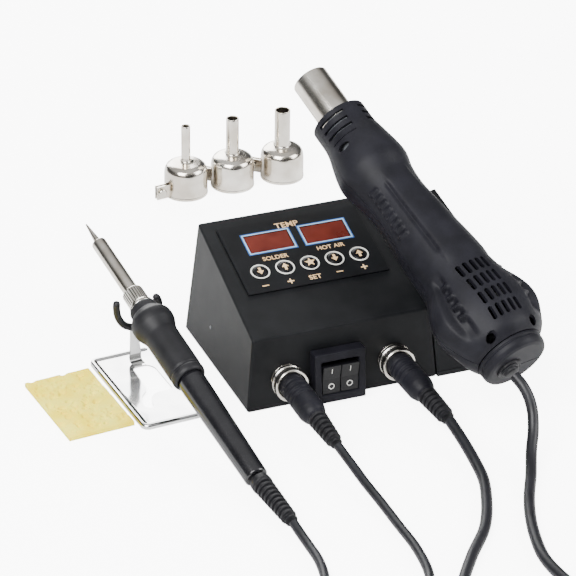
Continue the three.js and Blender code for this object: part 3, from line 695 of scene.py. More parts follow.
# ---- Cords ----
IRON_CORD = {
    "radius": 2.65, "coil": (-75.8, -286.0), "turn": -1,
    "lead": [
        (-30.8, -118.6, 11.8), (-29.2, -134, 9), (-27.7, -150, 6.2), (-26, -168, 4.2), (-25.2, -188, 3),
        (-25, -214, 2.8), (-28, -236, 2.8), (-36, -258, 2.8), (-40.4, -274, 2.8)],
    "back": [
        (-78, -171.4, 5), (-77.4, -180, 3.6), (-77, -190, 2.8), (-77.4, -206, 2.8), (-82, -226, 2.8),
        (-94, -246, 2.8), (-106, -264, 2.8), (-110.4, -276, 2.8)],
}
GUN_CORD = {
    "radius": 3.2, "coil": (3.0, -320.0), "turn": 1,
    "lead": [
        (37.6, -116, 11.6), (38.2, -128, 9), (38, -146, 5.6), (35.4, -166, 3.8), (29, -184, 3.4),
        (17, -208, 3.4), (-1.5, -231.6, 3.4), (-18, -256, 3.4), (-30, -284, 3.4), (-38, -306, 3.4)],
    "back": [
        (71.9, -124.6, 38.4), (73.9, -130.6, 35.4), (75.4, -136, 30.6), (75.6, -141, 24.4),
        (73.4, -147.6, 17), (68.2, -157, 10.4), (60.6, -173, 5.4), (51.6, -190, 3.8), (44.6, -206, 3.4),
        (38, -226, 3.4), (34, -246, 3.4), (35.4, -268, 3.4), (41, -290, 3.4), (45, -308, 3.4)],
}
COIL_TURNS = 4


def coil_route(cord):
    """Four turns, two side by side below and two above, as a spiral whose radius and height change in the
    last part of each turn; it comes in and goes out on opposite sides."""
    radius = cord["radius"]
    places = [(11, 1.05), (9, 1.05), (9, 3.1), (11, 3.1)]
    start = 0 if cord["turn"] < 0 else math.pi
    around = np.arange(8, 360 * COIL_TURNS - 160, 20)
    points = []
    for degrees in around:
        turn, part = divmod(degrees / 360, 1)
        here, after = places[int(turn)], places[min(int(turn) + 1, COIL_TURNS - 1)]
        across, height = [a + (b - a) * float(step(part, 0.82, 1.0)) for a, b in zip(here, after)]
        across += 2.1 * float(1 - step(degrees, 0, 60) + step(degrees, around[-1] - 70, around[-1] + 20))
        height += (1.05 - height) * float(step(degrees, around[-1] - 90, around[-1] + 10))
        angle = start + cord["turn"] * math.radians(degrees)
        points.append((cord["coil"][0] + across * radius * math.cos(angle),
                       cord["coil"][1] + across * radius * math.sin(angle), height * radius))
    return points


def make_cord(name, cord, nodes):
    """A round jacket swept along its whole route, from the handset through the coil to the plug."""
    route = cord["back"] + coil_route(cord)[::-1] + cord["lead"][::-1]
    path = through(route, 1.6)
    points, faces = rings(swept(path, cord["radius"], 16))
    made = piece(name, points, faces, "extruded_pvc", None, nodes)
    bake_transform(made)
    return made


# ---- Control box ----
def hull(name, corners, radius, look, body, stands_for=()):
    """The skin stretched over equal balls at the corners: a solid with flat faces and rounded edges."""
    polar, azimuth = np.meshgrid(np.linspace(0, math.pi, 13), np.linspace(0, TURN, 24, endpoint=False),
                                 indexing="ij")
    ball = np.stack([np.sin(polar) * np.cos(azimuth), np.sin(polar) * np.sin(azimuth), np.cos(polar)],
                    -1).reshape(-1, 3)
    points = (np.asarray(corners, float)[:, None] + radius * ball[None]).reshape(-1, 3)
    work = bmesh.new()
    for point in points * MM:
        work.verts.new(point)
    bmesh.ops.remove_doubles(work, verts=work.verts, dist=1e-6)
    made = bmesh.ops.convex_hull(work, input=work.verts)
    loose = [v for v in made["geom_interior"] + made["geom_unused"] if isinstance(v, bmesh.types.BMVert)]
    bmesh.ops.delete(work, geom=list(set(loose)), context="VERTS")
    bmesh.ops.dissolve_limit(work, angle_limit=math.radians(0.5), verts=work.verts, edges=work.edges)
    bmesh.ops.recalc_face_normals(work, faces=work.faces)
    mesh = bpy.data.meshes.new(name)
    work.to_mesh(mesh)
    work.free()
    mesh.shade_smooth()
    return settle(bpy.data.objects.new(name, mesh), look, body, stands_for)


def even_shading(made):
    """Lets the large flat faces rule the shading of the rounded edges between them."""
    weigh = made.modifiers.new("even_shading", "WEIGHTED_NORMAL")
    weigh.keep_sharp = True


def box_corners(inset, bottom=None):
    """The eight corners of the case's outline, moved inwards by the inset."""
    slope, lean = math.tan(PANEL_SLOPE), math.tan(FRONT_LEAN)
    back = (-CASE_FRONT - CASE_TOP_BACK) / CASE_HEIGHT
    low = inset if bottom is None else bottom
    start = CASE_FOLD_HEIGHT - inset / math.cos(PANEL_SLOPE)
    fold = (start + slope * (inset + CASE_FRONT - CASE_FOLD)) / (1 - slope * lean)
    top = (start - slope * (CASE_FRONT + CASE_FOLD + inset)) / (1 + slope * back)
    profile = [(CASE_FRONT + inset + lean * z, z) for z in (low, fold)]
    profile += [(-CASE_FRONT - inset - back * z, z) for z in (top, low)]
    return [(side * (CASE_HALF_WIDTH - CASE_SIDE_LEAN * z - inset), y, z) for side in (-1, 1)
            for y, z in profile]


def box_tool(x, y, z, place=FLAT):
    """A closed box between two values on each axis of the place."""
    points, faces = prism([(x[0], y[0]), (x[1], y[0]), (x[1], y[1]), (x[0], y[1])], *z)
    return moved((points, faces), place)


THROUGH = (-6, 6)
BACK_WALL = (44, 60)
WINDOW_HOLE = (13.2, 6.8)
BUTTON_HOLE, SOCKET_HOLE = 4.7, 8.0


def make_case():
    """The folded case with its openings, what is inside it, and a small grey dot on the left wall that is a
    painted highlight of a dimple there.
    """
    edge = size_of("case_edge")
    case = hull("case", box_corners(edge), edge, "powder_coated_steel", "station", ("housing_shell",))
    inner = np.array(box_corners(2.5, -1.0))
    inner_faces = [np.array([(0, 3, 2, 1), (4, 5, 6, 7), (0, 1, 5, 4), (1, 2, 6, 5), (2, 3, 7, 6),
                             (3, 0, 4, 7)])]
    drill(case, [(inner, inner_faces)])
    wide, high = WINDOW_HOLE
    holes = [box_tool((x - wide, x + wide), (-WINDOW_DROP - high, -WINDOW_DROP + high), THROUGH, PANEL)
             for x in WINDOW_X.values()]
    holes += [moved(prism(disc(x, -BUTTON_DROP, BUTTON_HOLE), *THROUGH), PANEL) for x in BUTTON_X]
    holes += [moved(prism(disc(x, SOCKET_HEIGHT, SOCKET_HOLE, 48), *THROUGH), FRONT)
              for x in SOCKET_X.values()]
    holes.append(box_tool((SWITCH_X - 13.3, SWITCH_X + 13.3), (4.9, 29.5), THROUGH, FRONT))
    holes.append(box_tool((-13.8, 13.8), BACK_WALL, (11.9, 32.1)))
    holes += [box_tool((x - 1.2, x + 1.2), BACK_WALL, (42, 58)) for x in range(-21, 22, 7)]
    even_shading(drill(case, holes))
    lean = CASE_SIDE_LEAN
    wall = (np.array(WALL_HIGHLIGHT_DOT), np.array([[0, 1.0, 0], [-1.0, 0, lean], [lean, 0, 1.0]]))
    # Painted highlight: a low grey dome whose pale colour stands for the light that a dimple in the black
    # wall catches.
    lathe("wall_highlight_dot", [(0.05, -0.4), (1.1, -0.4), (1.1, 0.1), (0.8, 0.3), (0.05, 0.35)], "painted_can",
          "station", wall, sides=32, radius=0.15)
    dress("powder_coated_steel", "base_plate")
    dress("silicone_rubber", "rubber_strip_front", "rubber_strip_rear")
    dress("fibreglass_board", "power_board", "control_board")
    dress("enamelled_copper", "power_transformer")
    dress("painted_can", "smoothing_capacitor")
    dress("drawn_stainless", "heat_sink")
    # The fan's rotor and motor are black plastic, dark enough that the gun's vents look shaded inside: in
    # part painted shade.
    dress("gloss_abs", "display_module_left", "display_module_right", "fan_rotor", "fan_motor")
    dress("glazed_ceramic", "air_heater", "iron_heater")
    # The air tube's insulator is white ceramic, dressed in grey lacquer so that it looks shaded through the
    # collar's slots: painted shade.
    dress("painted_can", "tube_insulator")
    bevelled("mains_inlet", 0.5, "moulded_abs", "station")


# ---- Panel ----
def make_panel():
    """The printed label, its two windows with pale outlines, and generic function marks."""
    bevelled("panel_overlay", 0.45, "printed_polycarbonate", "station")
    for side, x in WINDOW_X.items():
        bevelled(f"display_window_{side}", 0.2, "smoked_red_acrylic", "station")
        for kind, look, wide, high, line, top in (("outline", "pale_blue_ink", 14.5, 8.1, 0.8, PRINT_FACE),
                                                  ("border", "deep_blue_ink", 15.2, 8.8, 0.66, 1.2)):
            points, faces = frame_band(x - wide, x + wide, -WINDOW_DROP - high, -WINDOW_DROP + high, line,
                                       LABEL_FACE, top)
            piece(f"window_{kind}_{side}", points, faces, look, "station", place=PANEL)
    marks = [("TEMP", 6.0, -2.6, -15.4), ("SOLDER", 4.3, -18.5, -39.6), ("HOT AIR", 4.3, 16, -38.8),
             ("SET", 4.9, -1.6, -60.4)]
    for i, (text, size, x, y) in enumerate(marks):
        lettering(f"panel_mark_{i + 1}", text, size, x, y, LABEL_FACE, "gilt_ink", "station", PANEL)
    plus = [(0.4, 0.4), (0.4, 2), (-0.4, 2), (-0.4, 0.4), (-2, 0.4), (-2, -0.4), (-0.4, -0.4), (-0.4, -2),
            (0.4, -2), (0.4, -0.4), (2, -0.4), (2, 0.4)]
    minus = [(2, 0.4), (-2, 0.4), (-2, -0.4), (2, -0.4)]
    for i, (sign, x, y) in enumerate(((minus, -32, -60.2), (plus, -16.6, -60.2), (minus, 13.8, -59.6),
                                      (plus, 29, -59.4))):
        points, faces = prism(np.array(sign) + [x, y], LABEL_FACE, PRINT_FACE)
        piece(f"panel_sign_{i + 1}", points, faces, "gilt_ink", "station", place=PANEL)


ARROW = [(-0.75, 2.6), (0.75, 2.6), (0.75, 0.1), (2.1, 0.1), (0, -2.7), (-2.1, 0.1), (-0.75, 0.1)]
STAR = [(r * math.sin(k * math.pi / 5), r * math.cos(k * math.pi / 5)) for k, r in enumerate([3.3, 1.5] * 5)]


def make_buttons():
    """Five round caps, each with a printed ring round it and an arrow or a star on it."""
    icons = [ARROW, [(x, -y) for x, y in ARROW], STAR, ARROW, [(x, -y) for x, y in ARROW]]
    for i, (x, icon) in enumerate(zip(BUTTON_X, icons)):
        place = along_y(PANEL, x, -BUTTON_DROP)
        body = f"button_{i + 1}"
        cap = [(0.05, -7.1), (4.3, -7.1), (4.3, 1.0), (4.0, 1.5), (3.2, 1.7), (0.05, 1.75)]
        lathe(f"button_cap_{i + 1}", cap, "gloss_abs", body, place, (body,), radius=0.2)
        ring = [(4.8, LABEL_FACE), (5.75, LABEL_FACE), (5.55, 1.45), (5.0, 1.45)]
        lathe(f"button_outline_{i + 1}", ring, "pale_ink", "station", place, closed=True, radius=0)
        outline = np.array(icon) + [x, -BUTTON_DROP]
        points, faces = prism(outline, 1.6, 1.86)
        piece(f"button_icon_{i + 1}", points, faces, "gilt_ink", body, place=PANEL)


# ---- Front: sockets, rings, plugs and switches ----
def make_sockets():
    """Threaded sockets with a flange, and the knurled rings that hold the plugs in them."""
    for side, x in SOCKET_X.items():
        place = along_y(FRONT, x, SOCKET_HEIGHT)
        thread = [(7.7 - 0.35 * (i % 2), 2.6 + 0.4 * i) for i in range(16)]
        shape = [(0.05, -12), (7.7, -12), (7.7, 0.3), (9.6, 0.3), (9.6, 2.3), (7.7, 2.3), *thread, (7.7, 9),
                 (6, 9), (6, 3.05), (0.05, 3.05)]
        lathe(f"socket_shell_{side}", shape, "nickel_plated_brass", "station", place, (f"socket_{side}",),
              radius=0.15)
        ring = [(8.1, 2.7), (9.6, 2.7), (10, 3.3), (10, 5.2), (9.6, 5.5), (9.6, 6.0), (10, 6.3), (10, 10.4),
                (9.5, 11.2), (8.1, 11.2)]

        def knurl(angle, along, radius):
            flutes = -size_of("ring_knurl") * np.abs(np.sin(20 * angle))
            return np.where(radius > 9, flutes * hill(along, 6.6, 10.0, 0.25), 0)

        lathe(f"knurled_ring_{side}", ring, "nickel_plated_brass", f"coupling_ring_{side}", place,
              (f"coupling_ring_{side}",), sides=240, closed=True, radius=0.2, swell=knurl)


def ribbed(start, end, first, last, pitch=3.3, share=0.5):
    """A profile of round ribs that get smaller from one end of a boot to the other."""
    depth = size_of("boot_rib")
    count = max(2, int((end - start) / pitch))
    shape = []
    for i in range(count):
        low = start + (end - start) * i / count
        outer = first + (last - first) * i / count
        shape += [(outer, low), (outer, low + share * pitch), (outer - depth, low + share * pitch + 0.2),
                  (outer - depth, low + pitch - 0.2)]
    return shape


def make_plugs():
    """A moulded barrel that grips the socket and a ribbed boot that the cord comes out of."""
    for (side, x), cord in zip(SOCKET_X.items(), (IRON_CORD, GUN_CORD)):
        nodes = (f"plug_{side}",)
        lathe(f"plug_core_{side}", [(0.05, 9.6), (7.6, 9.6), (7.6, 15), (7, 16), (0.05, 16)], "moulded_abs",
              "station", along_y(FRONT, x, SOCKET_HEIGHT), nodes, radius=0.3)
        start = FRONT[0] + x * FRONT[1][0] + SOCKET_HEIGHT * FRONT[1][1] + PLUG_START * FRONT[1][2]
        place = axes(start, PLUG_ENDS[side])
        length = float(np.linalg.norm(np.subtract(PLUG_ENDS[side], start)))
        barrel = [(0.05, 0), (6.8, 0), (7.9, 2.5), (7.9, 4.4), (7.1, 4.9), (7.1, 5.7), (7.9, 6.1), (7.9, 8.2),
                  (7.1, 8.7), (7.1, 9.5), (7.9, 9.9), (7.9, 12), (7.1, 12.5), (7.1, 13.3), (7.9, 13.7),
                  (7.9, 0.42 * length), (6.9, 0.49 * length), (5.6, 0.53 * length), (5.6, 0.56 * length),
                  (0.05, 0.56 * length)]
        lathe(f"plug_barrel_{side}", barrel, "moulded_abs", "station", place, nodes, radius=0.35)
        ribs = ribbed(0.56 * length + 0.3, length - 1.5, 5.8, cord["radius"] + 1.7)
        boot = [(0.05, 0.55 * length), (4.6, 0.55 * length), *ribs, (cord["radius"] + 0.9, length),
                (0.05, length)]
        lathe(f"plug_boot_{side}", boot, "silicone_rubber", "station", place, nodes, radius=0.25)


def make_switches():
    """The bezel and its two rockers, with an on and an off mark moulded in each."""
    bevelled("switch_frame", 0.8, "moulded_abs", "station")
    origin, (across, upward, outward) = FRONT
    for i, side in enumerate(("left", "right")):
        rocker = f"rocker_{side}"
        bevelled(rocker, 0.5, "gloss_abs", rocker)
        middle = SWITCH_X + (i - 0.5) * ROCKER_PITCH
        pivot = origin + middle * across + SWITCH_MIDDLE * upward + 3.0 * outward
        for mark, height, lean in (("on", 5.6, 15.35), ("off", -4.6, 0.65)):
            rest = math.radians(ROCKER_REST)
            face = 4.8 + 1.2 * abs(height) / 9.3
            spot = pivot + (height * math.cos(rest) - face * math.sin(rest)) * upward
            spot = spot + (height * math.sin(rest) + face * math.cos(rest)) * outward
            tilt = math.radians(lean)
            place = spot, np.array([across, upward * math.cos(tilt) + outward * math.sin(tilt),
                                    outward * math.cos(tilt) - upward * math.sin(tilt)])
            if mark == "on":
                points, faces = prism([(-0.22, -1.7), (0.22, -1.7), (0.22, 1.7), (-0.22, 1.7)], 0.0, 0.12)
                piece(f"{rocker}_on_mark", points, faces, "pale_ink", rocker, place=place)
            else:
                ring = [(1.35, 0), (1.8, 0), (1.8, 0.12), (1.35, 0.12)]
                lathe(f"{rocker}_off_mark", ring, "pale_ink", rocker, along_y(place, 0, 0), closed=True,
                      radius=0, sides=40)


# ---- Hot-air gun ----
# Radius, place along the axis, and how far the middle shifts towards the thumb.
GUN_OUTLINE = [
    (20.4, 4, 1.8), (23.6, 9, 2.1), (25.2, 17, 2.0), (26.1, 28, 2.0), (25.1, 40, 2.2), (23.5, 50, 2.4),
    (22.4, 60, 2.2), (21.5, 74, 1.6), (20.4, 88, 0.9), (19.6, 98, 0.8), (18.9, 108, 0.5), (18.5, 120, -0.3),
    (19.7, 132, -1.0), (21.9, 143, -1.0), (21.1, 150, -0.8), (19.4, 158, -0.4), (17.9, 164.5, 0),
    (17.4, 167, 0), (16.8, 183, 0)]
REAR_RIM, NOSE = 4.0, 183.0
VENT_X = [-9.6 + 4.2 * i for i in range(5)]
VENT_S = [19 + 10.6 * i for i in range(4)]


def bump(value, middle, width):
    """One at the middle, falling off on both sides as a bell whose half width is given."""
    return np.exp(-((value - middle) / width) ** 2)


def gun_radius(along, angle):
    """The plain skin over length and angle: a smooth outline whose middle shifts towards the thumb, with two
    cheeks beside the fan, each a bell round the axis times a squared cosine along it."""
    line = through([(s, r, shift) for r, s, shift in GUN_OUTLINE], 0.5)
    base, shift = (np.interp(along, line[:, 0], line[:, i]) for i in (1, 2))
    from_back = np.degrees(np.arccos(np.cos(angle - math.radians(93))))
    lengthwise = np.minimum(1, np.abs(along - 30) / 31)
    cheek = 7.8 * bump(from_back, 82, 30) * np.cos(math.pi / 2 * lengthwise) ** 2
    return base + shift * np.cos(angle - math.radians(55)) + cheek


def gun_relief(along, angle):
    """What the mould adds and takes away: scoops between the back and the cheeks with four ribs on their
    borders, a raised tongue with a groove along the grip, and finger ribs on the grip's left side."""
    top = np.degrees(angle) - 93
    side = np.abs(top)
    scoop = -size_of("scoop_depth") * hill(side, 51, 58, 9) * hill(along, 22, 50, 11)
    teeth = sum(bump(along, s, 1.5) for s in (48.6, 41.3, 34.0, 26.9))
    scoop = scoop + (np.where(top > 0, 0.6, 0.0) - scoop) * teeth * hill(side, 45, 53, 4)
    x = 20 * np.cos(angle)
    left, right = -8.5 - 0.8 * step(along, 70, 126), 14.2 - 7.2 * step(along, 78, 128)
    upper = np.sin(angle) > 0
    tongue = 0.7 * hill(x, left, right, 2.2) * hill(along, 66, 124, 9) * upper
    groove = -0.9 * bump(x, left - 1.6, 1.3) * hill(along, 72, 122, 4) * upper
    fingers = sum(bump(along, 91.8 + 4.6 * i, 1.25) for i in range(8)) * hill(top, 50, 66, 4)
    return scoop + tongue + groove + size_of("finger_rib") * fingers


def gun_half(name, low, high, rows, columns, node):
    """One half of the gun's skin, its wall between an outer and an inner surface over length and angle."""
    along = np.linspace(REAR_RIM, NOSE, rows)[:, None]
    angle = np.radians(np.linspace(low, high, columns))[None, :]
    plain = gun_radius(along, angle)
    relief = gun_relief(along, angle)
    skins = [np.stack([r * np.cos(angle), along + 0 * angle, r * np.sin(angle)], -1)
             for r in (plain + relief, plain + np.minimum(relief, 0) - size_of("gun_wall"))]
    points, faces = between(*skins)
    return piece(name, points, faces, "moulded_abs", "hot_air_gun", (node,), place=GUN)


def sector(inner, outer, low, high, start, end, steps=12):
    """A curved block: between two radii, two angles in degrees and two places along the axis."""
    angle = np.radians(np.linspace(low, high, steps))[None, :]
    along = np.array([[start], [end]])
    skins = [np.stack([r * np.cos(angle) + 0 * along, along + 0 * angle, r * np.sin(angle) + 0 * along], -1)
             for r in (outer, inner)]
    return between(*skins)


def moved(shape, place):
    """The skin's points in the place, with its faces as they were."""
    return put_in(shape[0], place), shape[1]


def make_gun():
    """Both halves of the skin with vents, slots and screw recess, the end cap, gland and air tube."""
    gap = math.degrees(0.15 / 22)
    top = gun_half("gun_skin_top", gap, 180 - gap, 284, 162, "gun_shell_top")
    gun_half("gun_skin_bottom", 180 + gap, 360 - gap, 200, 90, "gun_shell_bottom")
    tools = [moved(prism(stadium(x, s, 2.5, 8.4), 12, 34), GUN) for x in VENT_X for s in VENT_S]
    for s in (169, 174, 179):
        for low, high in ((108, 171), (43, 72)):
            tools.append(moved(sector(12, 24, low, high, s - 0.9, s + 0.9), GUN))
    tools.append(moved(sector(17.3, 26, 110, 165, 163.3, 164.1), GUN))
    angle = np.linspace(0, TURN, 24, endpoint=False)
    eye = np.column_stack([158.5 + 2.1 * np.sin(angle), np.radians(147) + 0.21 * np.cos(angle)])
    oval = [np.column_stack([r * np.cos(eye[:, 1]), eye[:, 0], r * np.sin(eye[:, 1])]) for r in (15.5, 26)]
    tools.append(moved(rings(np.array(oval), flat=True), GUN))
    for x, s in ((-15.2, 8.4), (12.4, 8.0)):
        tools.append(moved(prism(disc(x, s, 2.7), 14, 40), GUN))
    drill(top, tools)
    cap = [(0.05, -4.5), (16.8, -4.5), (18.8, -3.8), (19.8, -1.8), (20.1, 0.6), (19.7, 1.0), (19.7, 1.5),
           (20.2, 1.9), (20.2, 3.7), (0.05, 3.7)]
    middle = GUN[0] + 1.0 * GUN[1][0] + 1.5 * GUN[1][2]
    end = lathe("gun_end_cap", cap, "moulded_abs", "hot_air_gun", (middle, GUN[1]), ("gun_rear_cap",),
                sides=120, radius=0.5)
    seam = [(4.2, -0.25), (40, -0.25), (40, 0.25), (4.2, 0.25)]
    sideways = (GUN[0], GUN[1][[0, 2, 1]])
    drill(end, [moved(tool, sideways) for tool in (prism(disc(-4.6, 0.6, 7.7), -20, 9),
                                                   prism(seam, -20, -4.0))])
    gland = [(0.05, -8.5), (3.5, -8.5), (4.3, -8.2), (4.6, -7.4), (4.5, -6.9), (5.2, -6.7), (5.6, -6.2),
             (5.4, -5.6), (6.3, -5.5), (7.2, -5.9), (7.4, -5.2), (7.4, 3.7), (0.05, 3.7)]
    centre = GUN[0] - 4.6 * GUN[1][0] + 0.6 * GUN[1][2]
    lathe("gun_gland", gland, "silicone_rubber", "hot_air_gun", (centre, GUN[1]), ("gun_cable_gland",),
          radius=0.3)
    tube = [(10.2, 140), (11, 140), (11, GUN_LENGTH), (10.2, GUN_LENGTH)]
    lathe("hot_air_tube", tube, "drawn_stainless", "hot_air_gun", GUN, ("air_tube",), closed=True,
          radius=0.25, sides=96)
    bevelled("gun_holder", 0.4, "powder_coated_steel", "station")


# ---- Soldering iron ----
def make_iron():
    """Handle, soft grip with its flange, knurled nut, barrel, tip and ribbed boot, turned about one axis."""
    handle = [(0.05, 0), (6.1, 0), (6.7, 0.8), (6.8, 8), (7.9, 70), (7.9, 76), (7.4, 77), (7.4, COLLAR - 5.3),
              (0.05, COLLAR - 5.3)]
    lathe("handle", handle, "polished_abs", "soldering_iron", IRON, ("iron_handle",))
    grip = [(7.7, 77.6), (9.0, 77.6), (9.8, 79.4), (9.8, 82), (9.3, 82.6), (9.3, 83.6), (9.8, 84.2),
            (9.8, COLLAR - 12), (10.6, COLLAR - 9), (12.2, COLLAR - 5), (12.6, COLLAR - 2),
            (12.4, COLLAR + 1), (10.6, COLLAR + 4.2), (9.0, COLLAR + 6), (8.7, COLLAR + 6.4),
            (8.4, COLLAR + 10.6), (7.6, COLLAR + 11.6), (6.2, COLLAR + 11.6), (6.2, COLLAR - 4.6),
            (7.7, COLLAR - 4.6)]
    lathe("grip", grip, "silicone_rubber", "soldering_iron", IRON, ("iron_grip",), closed=True, radius=0.9)
    nut = [(3.9, 11.9), (7.1, 11.9), (7.2, 12.3), (7.2, 13.4), (6.5, 13.9), (6.3, 14.4), (6.3, 24.0),
           (5.8, 24.8), (3.9, 24.8)]

    def knurl(angle, along, radius):
        flutes = -size_of("nut_knurl") * np.abs(np.sin(15 * angle))
        return np.where(radius > 5.6, flutes * hill(along - COLLAR, 14.8, 24.0, 0.4), 0)

    lathe("knurled_nut", [(r, COLLAR + s) for r, s in nut], "nickel_plated_brass", "soldering_iron", IRON,
          ("barrel_nut",), sides=180, closed=True, radius=0.25, swell=knurl)
    barrel = [(3.5, 25.1), (4.35, 25.1), (4.35, 66.8), (3.9, 67.4), (2.5, 67.4), (2.5, 66.6), (3.5, 66.6)]
    lathe("barrel", [(r, COLLAR + s) for r, s in barrel], "drawn_stainless", "soldering_iron", IRON,
          ("tip_sleeve",), closed=True, radius=0.2)
    tip = [(2.2, 27), (3.2, 27), (3.2, 64.5), (2.1, 66), (1.9, 69), (0.5, 83.2), (0.05, 84), (0.05, 60),
           (2.2, 60)]
    lathe("tip", [(r, COLLAR + s) for r, s in tip], "drawn_stainless", "soldering_iron", IRON, ("iron_tip",),
          closed=True, radius=0.3)
    start = np.array(IRON_REAR) + [0.1, -0.5, -0.2]
    place = axes(start, BOOT_END)
    length = float(np.linalg.norm(np.subtract(BOOT_END, start)))
    boot = [(0.05, 2.4), (5.8, 2.4), (6.0, 6.5), *ribbed(7, length - 1.5, 5.7, 4.3), (3.7, length),
            (0.05, length)]
    lathe("handle_boot", boot, "silicone_rubber", "soldering_iron", place, ("iron_boot",), radius=0.35)


HORNS = [(-15.2, 6), (-14.6, 1), (-11.8, -8.5), (-5.5, -17), (0, -19.5), (6, -17.5), (11.5, -12), (13.6, -6),
         (11.6, 0), (9.6, 2.6)]
TRAY = floor_place(-103.1, -6.8, 3.8)
TRAY_WIDTH, TRAY_LENGTH, TRAY_CORNER = 38, 82, 4.5
HORNS_PAST_COLLAR = 16
OPENING = [(0.6, 20.8), (3.5, 23.2), (10, 22.4), (13, 18), (13, -9), (8.1, -8.2), (3, -8.4), (-1.5, -11.1),
           (-3.9, -17.2), (-4.6, -21.7), (-6.4, -23.2), (-9.3, -21.3), (-9.5, -15.9), (-6.5, -8.9),
           (-2.5, -5.3), (-0.9, -1.7)]


def round_rectangle(width, length, radius, inset, steps=8):
    """The outline of a rectangle with round corners, moved inwards by the inset."""
    quarter = np.linspace(0, math.pi / 2, steps + 1)
    reach = max(radius - inset, 0.3)
    parts = []
    for i, (sx, sy) in enumerate(((1, 1), (-1, 1), (-1, -1), (1, -1))):
        angle = quarter + i * math.pi / 2
        centre = [sx * (width / 2 - inset - reach), sy * (length / 2 - inset - reach)]
        parts.append(centre + reach * np.column_stack([np.cos(angle), np.sin(angle)]))
    return np.concatenate(parts)


def band(path, side, width, thick):
    """A flat strip along a path: its width lies along side and its thickness across both."""
    path = np.asarray(path, float)
    tangent = np.gradient(path, axis=0)
    normal = np.cross(tangent, side)
    normal /= np.linalg.norm(normal, axis=1)[:, None]
    across = np.asarray(side)[None, :] * np.asarray(width)[:, None] / 2
    skins = [np.stack([path - across, path + across], 1) + s * normal[:, None] * thick / 2 for s in (1, -1)]
    return between(*skins)


def make_stand():
    """The stamped tray with its rolled rim, the strip bent up from it, and the sleeved wire cradle."""
    section = [(4.6, 2.3), (3.4, 2.4), (2.6, 2.75), (1.9, 3.0), (1.1, 3.0), (0.4, 2.6), (0, 1.9), (0, 0.2),
               (0.7, 0.2), (0.8, 1.6), (1.4, 2.1), (2.0, 2.1), (3.4, 1.6), (4.6, 1.5)]
    rows = []
    for inset, z in section:
        loop = round_rectangle(TRAY_WIDTH, TRAY_LENGTH, TRAY_CORNER, inset)
        rows.append(np.column_stack([loop, np.full(len(loop), z)]))
    points, faces = rings(np.array(rows), flat=True)
    tray = piece("stand_tray", points, faces, "chromed_sheet", "iron_stand", ("stand_base",), place=TRAY)
    outline = rounded(OPENING + [OPENING[0]], 2.6, 5)[:-1]
    drill(tray, [moved(prism(outline, -1, 6), TRAY)])
    foot = put_in(np.array([[5.8, 22.4, 2.0], [5.8, 24.8, 2.1], [5.0, 26.2, 3.6]]), TRAY)
    top = put_in(np.array([[0, COLLAR + HORNS_PAST_COLLAR, -21.9]]), IRON)
    path = through(np.concatenate([foot, 0.7 * foot[-1:] + 0.3 * top + [0, 0.6, 0], top]), 1.0)
    width = 7.5 - 2.5 * step(np.arange(len(path)), 0, len(path))
    points, faces = band(path, TRAY[1][0], width, 1.0)
    piece("stand_strip", points, faces, "chromed_sheet", "iron_stand", ("stand_base",), sharp=50)
    pace = 0.5
    path = through([(x, COLLAR + HORNS_PAST_COLLAR, z) for x, z in HORNS], pace)
    ends = np.minimum(np.arange(len(path)), np.arange(len(path))[::-1]) * pace
    radius = size_of("wire_sleeve") * np.sqrt(np.clip(1 - (1 - np.minimum(ends / 2.0, 1)) ** 2, 0.02, 1))
    points, faces = rings(swept(path, radius, 24, level=(0, 1, 0)))
    piece("stand_cradle", points, faces, "silicone_rubber", "iron_stand", ("stand_horns",), place=IRON)


SPONGE = floor_place(-144.6, -10.3, 5)
SPONGE_HALF_WIDTH, SPONGE_HALF_LENGTH = 19.75, 32.5
SPONGE_THICKNESS = 3.1


def make_sponge():
    """A thin block with ragged sides and a pitted top: pores are round dips at seeded places, deeper where
    they are wide."""
    seed = np.random.default_rng(7)
    y, x = np.meshgrid(np.linspace(-SPONGE_HALF_LENGTH, SPONGE_HALF_LENGTH, 261),
                       np.linspace(-SPONGE_HALF_WIDTH, SPONGE_HALF_WIDTH, 161), indexing="ij")
    top = SPONGE_THICKNESS + 0.12 * np.sin(x * 0.35 + 1) * np.cos(y * 0.22)
    pores = bpy.context.scene.station_sizes.pores
    for cx, cy, wide in zip(seed.uniform(-19, 19, pores), seed.uniform(-32, 32, pores),
                            seed.uniform(0.4, 1.5, pores) ** 1.6):
        near = np.exp(-(((x - cx) / (1.15 * wide)) ** 2 + ((y - cy) / wide) ** 2) ** 2)
        top = top - min(1.0, 0.75 * wide) * near
    border = np.minimum(SPONGE_HALF_WIDTH - np.abs(x), SPONGE_HALF_LENGTH - np.abs(y))
    top = np.clip(top - 0.6 * (1 - step(border, 0, 0.9)), 0.9, 3.35)
    points, faces = between(np.stack([x, y, top], -1), np.stack([x, y, 0 * x], -1))
    made = piece("sponge_sheet", points, faces, "cellulose_sponge", "sponge", ("sponge",), sharp=60,
                 place=SPONGE)


